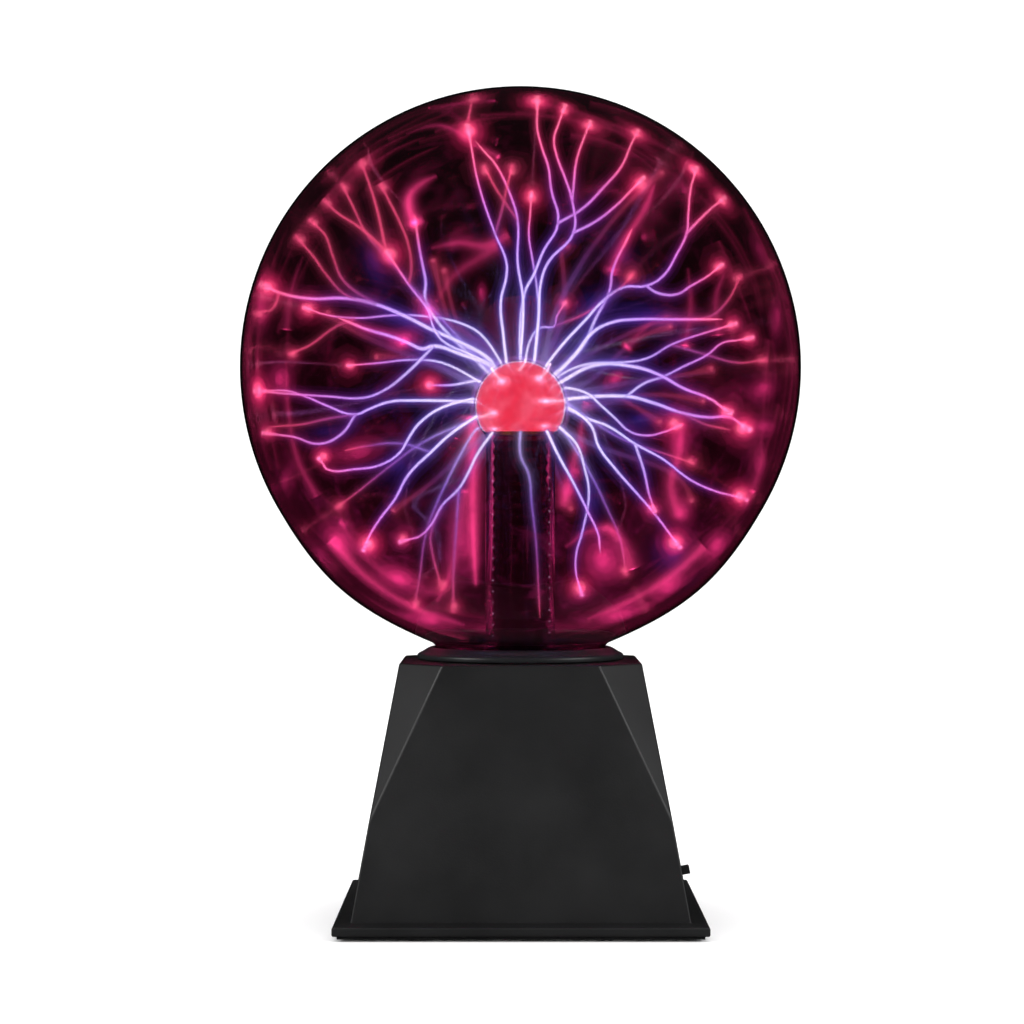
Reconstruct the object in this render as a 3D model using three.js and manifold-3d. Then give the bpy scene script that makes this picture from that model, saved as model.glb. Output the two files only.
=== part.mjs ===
// Plasma ball: a gas-filled glass globe on a faceted moulded stand, 200 mm across and 296 mm tall.
// Millimetres, +Z up. The origin is on the desk, at the centre of the stand. The front faces -Y,
// the mode switch is on the +X wall, and the power socket and microphone are on the +Y wall.
import * as THREE from 'three';
import { ConvexGeometry } from 'three/addons/geometries/ConvexGeometry.js';
import { mergeVertices } from 'three/addons/utils/BufferGeometryUtils.js';
import Module from 'manifold-3d';

// ---------------------------------------------------------------- driving dimensions

const fitGap = 0.3; // clearance between pieces that touch or pass through each other

// globe
const globeDiameter = 200;
const glassWall = 1.8;
const neckRadius = 30.3; // outside of the glass neck
const neckDepth = 14; // how far the neck reaches below the top of the stand
const globeLift = 4; // lowest point of the full sphere above the top of the stand
const blendStartAngle = 60; // degrees from straight down, where the ball starts to fill out
const blendReach = 0.3; // length of the filled-out curve's handles, as a share of the ball's radius
const blendFoot = 6; // where the filled-out curve meets the neck, above the top of the stand
const globeSegments = 36;

// glass stem and electrode
const stemRadius = 12.5;
const stemWall = 1.2;
const flareHeight = 18;
const bulbRadius = 16.5;
const bulbDrop = 13.5; // centre of the electrode bulb below the centre of the ball
const electrodeFlat = 9.3; // flat underside of the electrode below the centre of its bulb
const sleeveRadius = 10.05; // over the ribs
const ribPitch = 3.94;
const ribDepth = 1.1;
const sleeveBore = 3;
const contactRadius = 1.5;
const contactLength = 13;
const pipRadius = 2.5;
const pipLength = 13;

// stand
const flangeWidth = 127.4;
const flangeBottom = 1.8;
const flangeEdge = 3.1;
const flangeRise = 0.9; // how much the top of the flange slopes up to the tower
const towerFootWidth = 115.4;
const towerTopWidth = 84.6;
const towerTop = 92;
const topEdgeLength = 53.6; // straight edges of the top, between the cut corners
const facetFoot = 38.6; // height where the cut corners run out to a square corner
const housingWall = 2.2;

// collar, gasket and clamp
const collarRadius = 36.9;
const collarHeight = 4.2;
const gasketWall = 1.7;
const socketWall = 2;
const clampThickness = 3;
const clampLugRadius = 4.6;

// bottom cover and feet
const coverWidth = 124;
const coverBottom = 0.8;
const coverLip = 0.8;
const coverPlate = 2.4;
const footRadius = 6;
const footInset = 8.7; // foot centre, in from the side of the tower's foot
const footRecess = 0.6;
const coverScrewInset = 19.7; // cover screw, in from the side of the tower's foot
const bossRadius = 3.5;
const ventLength = 34;
const ventWidth = 2.6;
const ventPitch = 7;
const ventCount = 5;

// screws
const screwShankRadius = 1.3;
const screwHeadRadius = 2.8;
const screwHeadHeight = 1.7;

// circuit board
const boardWidth = 80;
const boardDepth = 64;
const boardThickness = 1.6;
const standoffHeight = 6;
const standoffRadius = 3.1;
const boardScrewInset = 4;

// transformer
const coreWidth = 33;
const coreHeight = 30;
const coreDepth = 10;
const coreLeg = 9;
const coreYoke = 7;
const coilRadius = 8.8;

// power stage
const sinkWidth = 24;
const sinkHeight = 26;
const sinkBase = 3;
const finLength = 7;
const finCount = 5;
const finThickness = 1.5;
const transistorWidth = 10;
const bulkCapacitorRadius = 6.25;
const bulkCapacitorHeight = 20;

// wires
const hvLeadRadius = 1.7;
const leadRadius = 0.7;

// mode switch
const switchHeight = 16.1; // where the middle of the knob leaves the wall, above the desk
const switchTravel = 2; // each way from the middle place
const knobWidth = 4;
const knobHeight = 3;
const knobReach = 4.7; // how far the knob stands out of the wall
const switchPost = 2;
const switchPlateLength = 22;
const switchPlateHeight = 6.5;
const switchPlateThickness = 0.8;
const switchCanLength = 13;
const switchCanDepth = 5.3;

// power socket and microphone
const jackHeight = 22;
const jackBarrelRadius = 4.9;
const jackBoreRadius = 3.1;
const jackBezelRadius = 6.2;
const jackBezel = 1.6;
const jackLength = 12;
const jackPinRadius = 1.05;
const nutRadius = 7.2;
const nutThickness = 2.6;
const microphoneOffset = -24;
const microphoneRadius = 4.85;
const microphoneLength = 6.5;
const grommetWall = 1.2;
const soundHoleRadius = 0.6;
const soundHoleSpacing = 1.8;

// ---------------------------------------------------------------- derived heights and places

const globeRadius = globeDiameter / 2;
const globeCentre = towerTop + globeLift + globeRadius;
const neckBottom = towerTop - neckDepth;
const bulbCentre = globeCentre - bulbDrop;
const electrodeBottom = bulbCentre - electrodeFlat;
const flangeTop = flangeBottom + flangeEdge;
const towerFoot = flangeTop + flangeRise;
const coverTop = coverBottom + coverPlate;
const boardBottom = coverTop + standoffHeight + fitGap;
const boardTop = boardBottom + boardThickness;
const partsFloor = boardTop + fitGap;
const clampTop = neckBottom - fitGap;
const clampBottom = clampTop - clampThickness;
const gasketRadius = neckRadius + fitGap + gasketWall;
const socketRadius = gasketRadius + fitGap;
const clampScrewRadius = socketRadius + socketWall + bossRadius + 0.6;
const coverScrewPlace = towerFootWidth / 2 - coverScrewInset;
const footPlace = towerFootWidth / 2 - footInset;
const pilotRadius = screwShankRadius + fitGap;

const towerSlope = (towerFootWidth - towerTopWidth) / 2 / (towerTop - towerFoot);
const topCornerSum = (towerTopWidth + topEdgeLength) / 2;
const facetSlope = (2 * halfWidthAt(facetFoot) - topCornerSum) / (towerTop - facetFoot);

// Half the width of the tower at a height, for a surface that lies a distance in from the outside.
function halfWidthAt(height, inset = 0) {
  return towerTopWidth / 2 + towerSlope * (towerTop - height) - inset * Math.hypot(1, towerSlope);
}

// The sum x + y of a cut corner at a height, for a surface that lies a distance in from the outside.
function cornerSumAt(height, inset = 0) {
  return topCornerSum + facetSlope * (towerTop - height) - inset * Math.hypot(Math.SQRT2, facetSlope);
}

// ---------------------------------------------------------------- materials

function finish(colour, roughness, metalness = 0) {
  return new THREE.MeshStandardMaterial({ color: colour, roughness, metalness });
}

const clearGlass = new THREE.MeshStandardMaterial({
  color: 0x8a2a52,
  roughness: 0.05,
  metalness: 0,
  transparent: true,
  opacity: 0.35,
});
const blackPlastic = finish(0x242424, 0.45);
const darkPlastic = finish(0x303234, 0.5);
const blackRubber = finish(0x151515, 0.85);
const steelWool = finish(0xff3d60, 0.8, 0.6);
const brass = finish(0xb5924c, 0.35, 1);
const zincSteel = finish(0xb9bbbd, 0.35, 1);
const boardGreen = finish(0x1d5a34, 0.5);
const ferrite = finish(0x2f3032, 0.6);
const coilTape = finish(0xc9a63a, 0.5);
const aluminium = finish(0xc4c6c8, 0.4, 1);
const capacitorSleeve = finish(0x20305e, 0.45);
const filmRed = finish(0x9c2f22, 0.5);
const chipBlack = finish(0x1b1b1d, 0.6);
const redWire = finish(0xb02020, 0.5);
const blackWire = finish(0x181818, 0.5);
const whiteWire = finish(0xdadada, 0.5);
const siliconeRed = finish(0xa83a2c, 0.55);

// ---------------------------------------------------------------- shape helpers

const wasm = await Module();
wasm.setup();

// A closed geometry as a solid that can be joined and cut.
function solidOf(geometry) {
  const bare = geometry.clone();
  bare.deleteAttribute('normal');
  bare.deleteAttribute('uv');
  const merged = mergeVertices(bare, 1e-4);
  const vertProperties = new Float32Array(merged.attributes.position.array);
  const triVerts = new Uint32Array(merged.index.array);
  return new wasm.Manifold(new wasm.Mesh({ numProp: 3, vertProperties, triVerts }));
}

// A solid back as a geometry.
function geometryOf(solid) {
  const mesh = solid.getMesh();
  const geometry = new THREE.BufferGeometry();
  geometry.setAttribute('position', new THREE.BufferAttribute(mesh.vertProperties, 3));
  geometry.setIndex(new THREE.BufferAttribute(mesh.triVerts, 1));
  geometry.computeVertexNormals();
  return geometry;
}

// Several closed geometries joined to one, then cut by others.
function carve(joined, cuts = []) {
  let solid = solidOf(joined[0]);
  for (const geometry of joined.slice(1)) {
    solid = solid.add(solidOf(geometry));
  }
  for (const geometry of cuts) {
    solid = solid.subtract(solidOf(geometry));
  }
  return geometryOf(solid);
}

// A closed shape of revolution about +Z from [radius, height] points.
function turned(points, segments = 16) {
  const profile = points.map(([radius, height]) => new THREE.Vector2(radius, height));
  return new THREE.LatheGeometry(profile, segments).rotateX(Math.PI / 2);
}

function rod(radius, bottom, top, x = 0, y = 0, segments = 16) {
  const geometry = new THREE.CylinderGeometry(radius, radius, top - bottom, segments);
  return geometry.rotateX(Math.PI / 2).translate(x, y, (bottom + top) / 2);
}

function block(width, depth, bottom, top, x = 0, y = 0) {
  return new THREE.BoxGeometry(width, depth, top - bottom).translate(x, y, (bottom + top) / 2);
}

// A round tube between two radii and two heights.
function ring(innerRadius, outerRadius, bottom, top, segments = 24) {
  const points = [
    [innerRadius, bottom],
    [outerRadius, bottom],
    [outerRadius, top],
    [innerRadius, top],
    [innerRadius, bottom],
  ];
  return turned(points, segments);
}

// A wire of round section along a smooth curve through the given points.
function wire(points, radius, steps) {
  const section = new THREE.Shape();
  section.absarc(0, 0, radius, 0, 2 * Math.PI);
  const route = new THREE.CatmullRomCurve3(points.map(([x, y, z]) => new THREE.Vector3(x, y, z)));
  const settings = { extrudePath: route, steps, curveSegments: 3, bevelEnabled: false };
  return new THREE.ExtrudeGeometry(section, settings);
}

// A pan-head screw along +Z: the head's flat underside is at 0 and the shank goes up from it.
function screw(length) {
  const points = [
    [0, -screwHeadHeight],
    [screwHeadRadius * 0.6, -screwHeadHeight],
    [screwHeadRadius, -screwHeadHeight * 0.45],
    [screwHeadRadius, 0],
    [screwShankRadius, 0],
    [screwShankRadius, length - screwShankRadius],
    [0, length],
  ];
  return turned(points, 8);
}

const corners = [
  [-1, -1],
  [1, -1],
  [1, 1],
  [-1, 1],
];

const plasmaBall = new THREE.Group();

function addPiece(name, geometry, material, parent = plasmaBall) {
  const mesh = new THREE.Mesh(geometry, material);
  mesh.name = name;
  parent.add(mesh);
  return mesh;
}

// A frame on a wall of the tower: its origin is on the outside of the wall at a height, its +Z points
// out of the wall, its +Y up the wall, and its +X level along the wall. side 0 is the +X wall, and
// each further side is a quarter turn on.
function wallFrame(side, along, height) {
  const lean = Math.atan(towerSlope);
  const upright = new THREE.Matrix4().makeBasis(
    new THREE.Vector3(0, 1, 0),
    new THREE.Vector3(-Math.sin(lean), 0, Math.cos(lean)),
    new THREE.Vector3(Math.cos(lean), 0, Math.sin(lean)),
  );
  upright.setPosition(halfWidthAt(height), along, height);
  return new THREE.Matrix4().makeRotationZ((side * Math.PI) / 2).multiply(upright);
}

function wallGroup(frame) {
  const group = new THREE.Group();
  group.applyMatrix4(frame);
  plasmaBall.add(group);
  return group;
}

const switchFrame = wallFrame(0, 0, switchHeight);
const jackFrame = wallFrame(1, 0, jackHeight);
const microphoneFrame = wallFrame(1, -microphoneOffset, jackHeight);

// ---------------------------------------------------------------- globe

// The outside of the globe from the foot of the neck to the top: the neck, the filled-out lower
// part and the round ball.
function globeProfile() {
  const startAngle = THREE.MathUtils.degToRad(blendStartAngle);
  const start = new THREE.Vector2(Math.sin(startAngle), -Math.cos(startAngle)).multiplyScalar(globeRadius);
  start.y += globeCentre;
  const foot = new THREE.Vector2(neckRadius + 1.2, towerTop + blendFoot);
  const reach = blendReach * globeRadius;
  const startHandle = new THREE.Vector2(-Math.cos(startAngle), -Math.sin(startAngle));
  const footHandle = new THREE.Vector2(0.92, 0.39);
  const blend = new THREE.CubicBezierCurve(
    foot,
    foot.clone().addScaledVector(footHandle, reach),
    start.clone().addScaledVector(startHandle, reach),
    start,
  );
  const points = [
    [neckRadius, neckBottom],
    [neckRadius, towerTop + blendFoot - 1.2],
  ];
  for (const point of blend.getPoints(5)) {
    points.push([point.x, point.y]);
  }
  const ballSteps = 12;
  for (let step = 1; step < ballSteps; step += 1) {
    const angle = startAngle + ((Math.PI - startAngle) * step) / ballSteps;
    points.push([globeRadius * Math.sin(angle), globeCentre - globeRadius * Math.cos(angle)]);
  }
  points.push([0, globeCentre + globeRadius]);
  return points;
}

// The same outline moved in by a wall, at right angles to it. It ends on the axis.
function insideOf(outline, wall) {
  return outline.map(([radius, height], index) => {
    const before = outline[Math.max(index - 1, 0)];
    const after = outline[Math.min(index + 1, outline.length - 1)];
    if (index === outline.length - 1) {
      return [0, height - wall];
    }
    const along = new THREE.Vector2(after[0] - before[0], after[1] - before[1]).normalize();
    return [radius - wall * along.y, height + wall * along.x];
  });
}

// A wall between an outline that ends on the axis and its inside, open at the outline's foot.
function shellOf(outline, wall, segments) {
  const inside = insideOf(outline, wall).reverse();
  return turned([...inside, ...outline], segments);
}

addPiece('glass_globe', shellOf(globeProfile(), glassWall, globeSegments), clearGlass);

// ---------------------------------------------------------------- glass stem and electrode

const flareRadius = neckRadius - glassWall - fitGap;
const flareTop = neckBottom + stemWall + flareHeight;

// Height of the outside of the flare at a radius: a quarter of an ellipse.
function flareAt(radius) {
  const share = (flareRadius - radius) / (flareRadius - stemRadius);
  return flareTop - flareHeight * Math.sqrt(1 - share * share);
}

// The stem: a flared foot that meets the inside of the neck, a straight tube and a blown bulb.
function stemProfile() {
  const points = [];
  for (let step = 0; step <= 5; step += 1) {
    const share = Math.sin(((Math.PI / 2) * step) / 5);
    const radius = flareRadius - (flareRadius - stemRadius) * share;
    points.push([radius, flareAt(radius)]);
  }
  const startAngle = Math.PI - Math.asin(stemRadius / bulbRadius);
  for (let step = 0; step < 8; step += 1) {
    const angle = startAngle * (1 - step / 8);
    points.push([bulbRadius * Math.sin(angle), bulbCentre + bulbRadius * Math.cos(angle)]);
  }
  points.push([0, bulbCentre + bulbRadius]);
  return points;
}

addPiece('stem_tube', shellOf(stemProfile(), stemWall, 20), clearGlass);

const pipOffset = (stemRadius + flareRadius) / 2;
const pipTop = flareAt(pipOffset + pipRadius) - 1.3 * stemWall - fitGap;
const pipProfile = [
  [0, pipTop - pipLength],
  [pipRadius * 0.4, pipTop - pipLength + 1],
  [pipRadius, pipTop - pipLength + 5],
  [pipRadius, pipTop],
  [0, pipTop],
];
addPiece('exhaust_pip', turned(pipProfile, 12), clearGlass).position.set(pipOffset, 0, 0);

const contactTop = electrodeBottom + contactLength;
const contactDiscTop = electrodeBottom - fitGap;
const contactDiscBottom = contactDiscTop - 1;

// Steel wool packed in the bulb: a ball with a flat underside and a blind bore for the contact.
function woolProfile() {
  const radius = bulbRadius - stemWall - fitGap - 0.2;
  const startAngle = Math.acos(-electrodeFlat / radius);
  const points = [
    [0, contactTop + fitGap],
    [contactRadius + fitGap, contactTop + fitGap],
    [contactRadius + fitGap, electrodeBottom],
  ];
  for (let step = 0; step < 8; step += 1) {
    const angle = startAngle * (1 - step / 8);
    points.push([radius * Math.sin(angle), bulbCentre + radius * Math.cos(angle)]);
  }
  points.push([0, bulbCentre + radius]);
  return points;
}

addPiece('electrode_wool', turned(woolProfile(), 20), steelWool);

const contactProfile = [
  [0, contactDiscBottom],
  [sleeveRadius - ribDepth, contactDiscBottom],
  [sleeveRadius - ribDepth, contactDiscTop],
  [contactRadius, contactDiscTop],
  [contactRadius, contactTop],
  [0, contactTop],
];
addPiece('electrode_contact', turned(contactProfile, 16), brass);

// Corrugated insulating sleeve round the high-voltage lead, up the middle of the stem.
function sleeveProfile() {
  const top = contactDiscBottom - fitGap;
  const length = top - neckBottom;
  const ribs = Math.floor(length / ribPitch);
  const bottom = top - ribs * ribPitch;
  const points = [
    [sleeveBore, top],
    [sleeveBore, bottom],
  ];
  for (let rib = 0; rib < ribs; rib += 1) {
    points.push([sleeveRadius - ribDepth, bottom + rib * ribPitch]);
    points.push([sleeveRadius, bottom + (rib + 0.5) * ribPitch]);
  }
  points.push([sleeveRadius - ribDepth, top]);
  points.push([sleeveBore, top]);
  return points;
}

addPiece('ribbed_sleeve', turned(sleeveProfile(), 12), blackPlastic);

// ---------------------------------------------------------------- collar, gasket and clamp

const collarBottom = towerTop + fitGap;
const collarTop = collarBottom + collarHeight;
const collarBore = neckRadius + 2 * fitGap;
const collarProfile = [
  [collarBore, collarBottom],
  [collarRadius, collarBottom],
  [collarRadius, collarBottom + 1.2],
  [collarRadius - 1.4, collarBottom + 2.4],
  [collarRadius - 4.1, collarTop - 0.3],
  [collarBore + 0.8, collarTop],
  [collarBore, collarTop - 0.3],
  [collarBore, collarBottom],
];
addPiece('collar_ring', turned(collarProfile, 32), darkPlastic);
addPiece('neck_gasket', ring(neckRadius + fitGap, gasketRadius, neckBottom + 1, towerTop - 0.5), blackRubber);

const clampPlace = clampScrewRadius * Math.SQRT1_2;
const clampPlaces = corners.map(([x, y]) => [x * clampPlace, y * clampPlace]);
const clampLugs = clampPlaces.map(([x, y]) => rod(clampLugRadius, clampBottom, clampTop, x, y, 12));
const clampHoles = clampPlaces.map(([x, y]) => rod(pilotRadius, clampBottom - 1, clampTop + 1, x, y, 8));
const clampLip = 2.5; // how far the clamp reaches in past the glass of the neck
const clampRing = ring(neckRadius - glassWall - clampLip, socketRadius + socketWall, clampBottom, clampTop);
addPiece('globe_clamp_ring', carve([clampRing, ...clampLugs], clampHoles), darkPlastic);

clampPlaces.forEach(([x, y], index) => {
  const name = `clamp_screw_${index + 1}`;
  addPiece(name, screw(10), zincSteel).position.set(x, y, clampBottom - fitGap);
});

// ---------------------------------------------------------------- housing

// The closed outer form of the tower, or the form of its hollow when it is set in by a wall.
function towerForm(bottom, top, inset) {
  const points = [];
  const closing = 2 * halfWidthAt(towerTop, inset) - cornerSumAt(towerTop, inset);
  const runOut = towerTop - closing / (facetSlope - 2 * towerSlope);
  for (const [x, y] of corners) {
    const footHalf = halfWidthAt(bottom, inset);
    points.push(new THREE.Vector3(x * footHalf, y * footHalf, bottom));
    const kneeHalf = halfWidthAt(runOut, inset);
    points.push(new THREE.Vector3(x * kneeHalf, y * kneeHalf, runOut));
    const topHalf = halfWidthAt(top, inset);
    const cutHalf = cornerSumAt(top, inset) - topHalf;
    points.push(new THREE.Vector3(x * topHalf, y * cutHalf, top));
    points.push(new THREE.Vector3(x * cutHalf, y * topHalf, top));
  }
  return new ConvexGeometry(points);
}

// The flange: a square plate with an upright edge, whose top slopes up to the tower.
function flangeForm() {
  const points = [];
  const edge = flangeWidth / 2;
  for (const [x, y] of corners) {
    points.push(new THREE.Vector3(x * edge, y * edge, flangeBottom));
    points.push(new THREE.Vector3(x * edge, y * edge, flangeTop));
    const neck = halfWidthAt(towerFoot);
    points.push(new THREE.Vector3(x * neck, y * neck, towerFoot));
  }
  return new ConvexGeometry(points);
}

const coverBossBottom = coverTop + 3;
const coverBossTop = facetFoot + 18;

// A boss for a cover screw, with a web that ties it to the corner of the tower.
function coverBoss([x, y]) {
  const place = coverScrewPlace;
  const boss = rod(bossRadius, coverBossBottom, coverBossTop, x * place, y * place, 12);
  const cornerPlace = halfWidthAt(coverBossBottom, housingWall / 2);
  const webLength = (cornerPlace - place) * Math.SQRT2;
  const middle = (cornerPlace + place) / 2;
  const web = block(webLength, 1.6, coverBossBottom, coverBossTop);
  web.rotateZ(Math.atan2(y, x)).translate(x * middle, y * middle, 0);
  return [boss, web];
}

const switchPostPlace = switchPlateLength / 2 - 2.1;
const switchPostPlaces = [-switchPostPlace, switchPostPlace];
const switchBack = -housingWall - switchPost;

const housingJoins = [flangeForm()];
const housingInside = corners.flatMap(coverBoss);
for (const [x, y] of clampPlaces) {
  housingInside.push(rod(bossRadius, clampTop + fitGap, towerTop - housingWall / 2, x, y, 12));
}
for (const along of switchPostPlaces) {
  const post = rod(2.2, switchBack, -housingWall / 2, along, 0, 12);
  housingInside.push(post.applyMatrix4(switchFrame));
}
const grommetRadius = microphoneRadius + fitGap + grommetWall;
const grommetFront = -housingWall - fitGap;
const holderBore = grommetRadius + fitGap;
const holderRing = ring(holderBore, holderBore + 1.4, -housingWall - 4, -housingWall / 2, 16);
housingInside.push(holderRing.applyMatrix4(microphoneFrame));
const socketTop = towerTop - housingWall / 2;
housingInside.push(ring(socketRadius, socketRadius + socketWall, neckBottom + fitGap, socketTop));

const housingCuts = [rod(socketRadius, neckBottom, towerTop + 1, 0, 0, 24)];
for (const [x, y] of corners) {
  const place = coverScrewPlace;
  housingCuts.push(rod(pilotRadius, coverBossBottom - 1, coverBossBottom + 12, x * place, y * place, 8));
}
for (const [x, y] of clampPlaces) {
  housingCuts.push(rod(pilotRadius, clampTop - 1, clampTop + 9.5, x, y, 8));
}
for (const along of switchPostPlaces) {
  housingCuts.push(rod(1.1, switchBack - 1, -housingWall / 2, along, 0, 12).applyMatrix4(switchFrame));
}
const slotLength = knobWidth + 2 * switchTravel + 4 * fitGap;
const switchSlot = block(slotLength, knobHeight + 2 * fitGap, -housingWall - 1, 1);
housingCuts.push(switchSlot.applyMatrix4(switchFrame));
housingCuts.push(rod(jackBarrelRadius + fitGap, -housingWall - 1, 1).applyMatrix4(jackFrame));
for (const [x, y] of [[0, 0], ...corners]) {
  const hole = rod(soundHoleRadius, -housingWall - 1, 1, x * soundHoleSpacing, y * soundHoleSpacing, 6);
  housingCuts.push(hole.applyMatrix4(microphoneFrame));
}

// The moulding: tower and flange, hollowed, with its bosses and rings kept inside the outer skin.
function housingForm() {
  let outside = solidOf(towerForm(flangeBottom, towerTop, 0));
  for (const geometry of housingJoins) {
    outside = outside.add(solidOf(geometry));
  }
  let solid = outside.subtract(solidOf(towerForm(flangeBottom - 1, towerTop - housingWall, housingWall)));
  const keepIn = solidOf(towerForm(flangeBottom, towerTop, housingWall / 2));
  for (const geometry of housingInside) {
    solid = solid.add(solidOf(geometry).intersect(keepIn));
  }
  for (const geometry of housingCuts) {
    solid = solid.subtract(solidOf(geometry));
  }
  return geometryOf(solid);
}

addPiece('housing_shell', housingForm(), blackPlastic);

// ---------------------------------------------------------------- bottom cover and feet

const standoffPlaces = corners.map(([x, y]) => [
  x * (boardWidth / 2 - boardScrewInset),
  y * (boardDepth / 2 - boardScrewInset),
]);
const stepHalf = halfWidthAt(coverTop, housingWall) - fitGap;
const coverJoins = [
  block(coverWidth, coverWidth, coverBottom, coverBottom + coverLip - 0.1),
  block(2 * stepHalf, 2 * stepHalf, coverBottom, coverTop),
];
const coverCuts = [];
for (const [x, y] of corners) {
  const screwX = x * coverScrewPlace;
  const screwY = y * coverScrewPlace;
  coverJoins.push(rod(screwHeadRadius + 2.4, coverBottom, coverBossBottom - fitGap, screwX, screwY, 16));
  coverCuts.push(rod(screwHeadRadius + fitGap, coverBottom - 1, coverTop + 0.6, screwX, screwY, 12));
  coverCuts.push(rod(pilotRadius, coverBottom, coverBossBottom + 1, screwX, screwY, 8));
  const recessTop = coverBottom + footRecess;
  coverCuts.push(rod(footRadius + fitGap, coverBottom - 1, recessTop, x * footPlace, y * footPlace));
}
for (const [x, y] of standoffPlaces) {
  coverJoins.push(rod(standoffRadius, coverBottom + 1, coverTop + standoffHeight, x, y, 12));
  coverCuts.push(rod(pilotRadius, coverTop, coverTop + standoffHeight + 1, x, y, 8));
}
for (let vent = 0; vent < ventCount; vent += 1) {
  const place = (vent - (ventCount - 1) / 2) * ventPitch;
  coverCuts.push(block(ventLength, ventWidth, coverBottom - 1, coverTop + 1, 0, place));
}
addPiece('bottom_cover', carve(coverJoins, coverCuts), blackPlastic);

const footProfile = [
  [0, 0],
  [footRadius - 0.4, 0],
  [footRadius, 0.4],
  [footRadius, coverBottom + footRecess - fitGap],
  [0, coverBottom + footRecess - fitGap],
];
corners.forEach(([x, y], index) => {
  const foot = addPiece(`rubber_foot_${index + 1}`, turned(footProfile, 16), blackRubber);
  foot.position.set(x * footPlace, y * footPlace, 0);
  const coverScrew = addPiece(`cover_screw_${index + 1}`, screw(12), zincSteel);
  coverScrew.position.set(x * coverScrewPlace, y * coverScrewPlace, coverTop + 0.6 - fitGap);
});

// ---------------------------------------------------------------- circuit board and its parts

const boardCuts = standoffPlaces.map(([x, y]) => rod(pilotRadius, boardBottom - 1, boardTop + 1, x, y, 8));
for (const [x, y] of corners) {
  const clearance = bossRadius + 2 * fitGap;
  const place = coverScrewPlace;
  boardCuts.push(rod(clearance, boardBottom - 1, boardTop + 1, x * place, y * place, 16));
}
const boardBlank = block(boardWidth, boardDepth, boardBottom, boardTop);
addPiece('circuit_board', carve([boardBlank], boardCuts), boardGreen);
standoffPlaces.forEach(([x, y], index) => {
  const boardScrew = addPiece(`board_screw_${index + 1}`, screw(standoffHeight), zincSteel);
  boardScrew.rotation.x = Math.PI;
  boardScrew.position.set(x, y, boardTop + fitGap);
});

// transformer: a closed ferrite frame with the coil round one leg
const coreX = -17;
const coreTop = partsFloor + coreHeight;
const coilX = coreX + (coreWidth - coreLeg) / 2;
const coreWindow = block(
  coreWidth - 2 * coreLeg,
  coreDepth + 2,
  partsFloor + coreYoke,
  coreTop - coreYoke,
  coreX,
);
const coreBlank = block(coreWidth, coreDepth, partsFloor, coreTop, coreX);
addPiece('flyback_core', carve([coreBlank], [coreWindow]), ferrite);
const coilBottom = partsFloor + coreYoke + fitGap;
const coilTop = coreTop - coreYoke - fitGap;
const coilBore = block(coreLeg + 2 * fitGap, coreDepth + 2 * fitGap, coilBottom - 1, coilTop + 1, coilX);
addPiece('flyback_coil', carve([rod(coilRadius, coilBottom, coilTop, coilX, 0, 32)], [coilBore]), coilTape);

// heat sink with fins on its +Y side, and the transistor screwed to its -Y side
const sinkX = 24;
const sinkY = 10;
const sinkTop = partsFloor + sinkHeight;
const sinkJoins = [block(sinkWidth, sinkBase, partsFloor, sinkTop, sinkX, sinkY)];
for (let fin = 0; fin < finCount; fin += 1) {
  const finX = sinkX + (fin / (finCount - 1) - 0.5) * (sinkWidth - finThickness);
  const finY = sinkY + sinkBase / 2 + finLength / 2 - 0.1;
  sinkJoins.push(block(finThickness, finLength, partsFloor, sinkTop, finX, finY));
}
const transistorFace = sinkY - sinkBase / 2 - fitGap;
const tabTop = partsFloor + 21;
const tabHoleHeight = tabTop - 3.4;
const sinkHole = rod(pilotRadius, -sinkBase, sinkBase, 0, 0, 12).rotateX(Math.PI / 2);
sinkHole.translate(sinkX, sinkY, tabHoleHeight);
addPiece('heat_sink', carve(sinkJoins, [sinkHole]), aluminium);

const tabThickness = 1.3;
const transistorJoins = [
  block(transistorWidth, tabThickness, tabTop - 15, tabTop, sinkX, transistorFace - tabThickness / 2),
  block(transistorWidth, 4.4, tabTop - 15.5, tabTop - 6.3, sinkX, transistorFace - 2.2),
];
for (const legX of [-2.54, 0, 2.54]) {
  transistorJoins.push(block(0.9, 0.6, partsFloor, tabTop - 15, sinkX + legX, transistorFace - 2.4));
}
const tabHole = rod(pilotRadius + 0.2, -4, 4, 0, 0, 12).rotateX(Math.PI / 2);
tabHole.translate(sinkX, transistorFace, tabHoleHeight);
addPiece('power_transistor', carve(transistorJoins, [tabHole]), chipBlack);
const transistorScrew = addPiece('transistor_screw', screw(6), zincSteel);
transistorScrew.rotation.x = -Math.PI / 2;
transistorScrew.position.set(sinkX, transistorFace - tabThickness - fitGap, tabHoleHeight);

const bulkProfile = [
  [0, partsFloor],
  [bulkCapacitorRadius - 0.5, partsFloor],
  [bulkCapacitorRadius, partsFloor + 0.5],
  [bulkCapacitorRadius, partsFloor + 2],
  [bulkCapacitorRadius - 0.5, partsFloor + 2.6],
  [bulkCapacitorRadius, partsFloor + 3.2],
  [bulkCapacitorRadius, partsFloor + bulkCapacitorHeight - 0.6],
  [bulkCapacitorRadius - 0.6, partsFloor + bulkCapacitorHeight],
  [0, partsFloor + bulkCapacitorHeight],
];
addPiece('bulk_capacitor', turned(bulkProfile, 16), capacitorSleeve).position.set(27, -15, 0);

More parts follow.
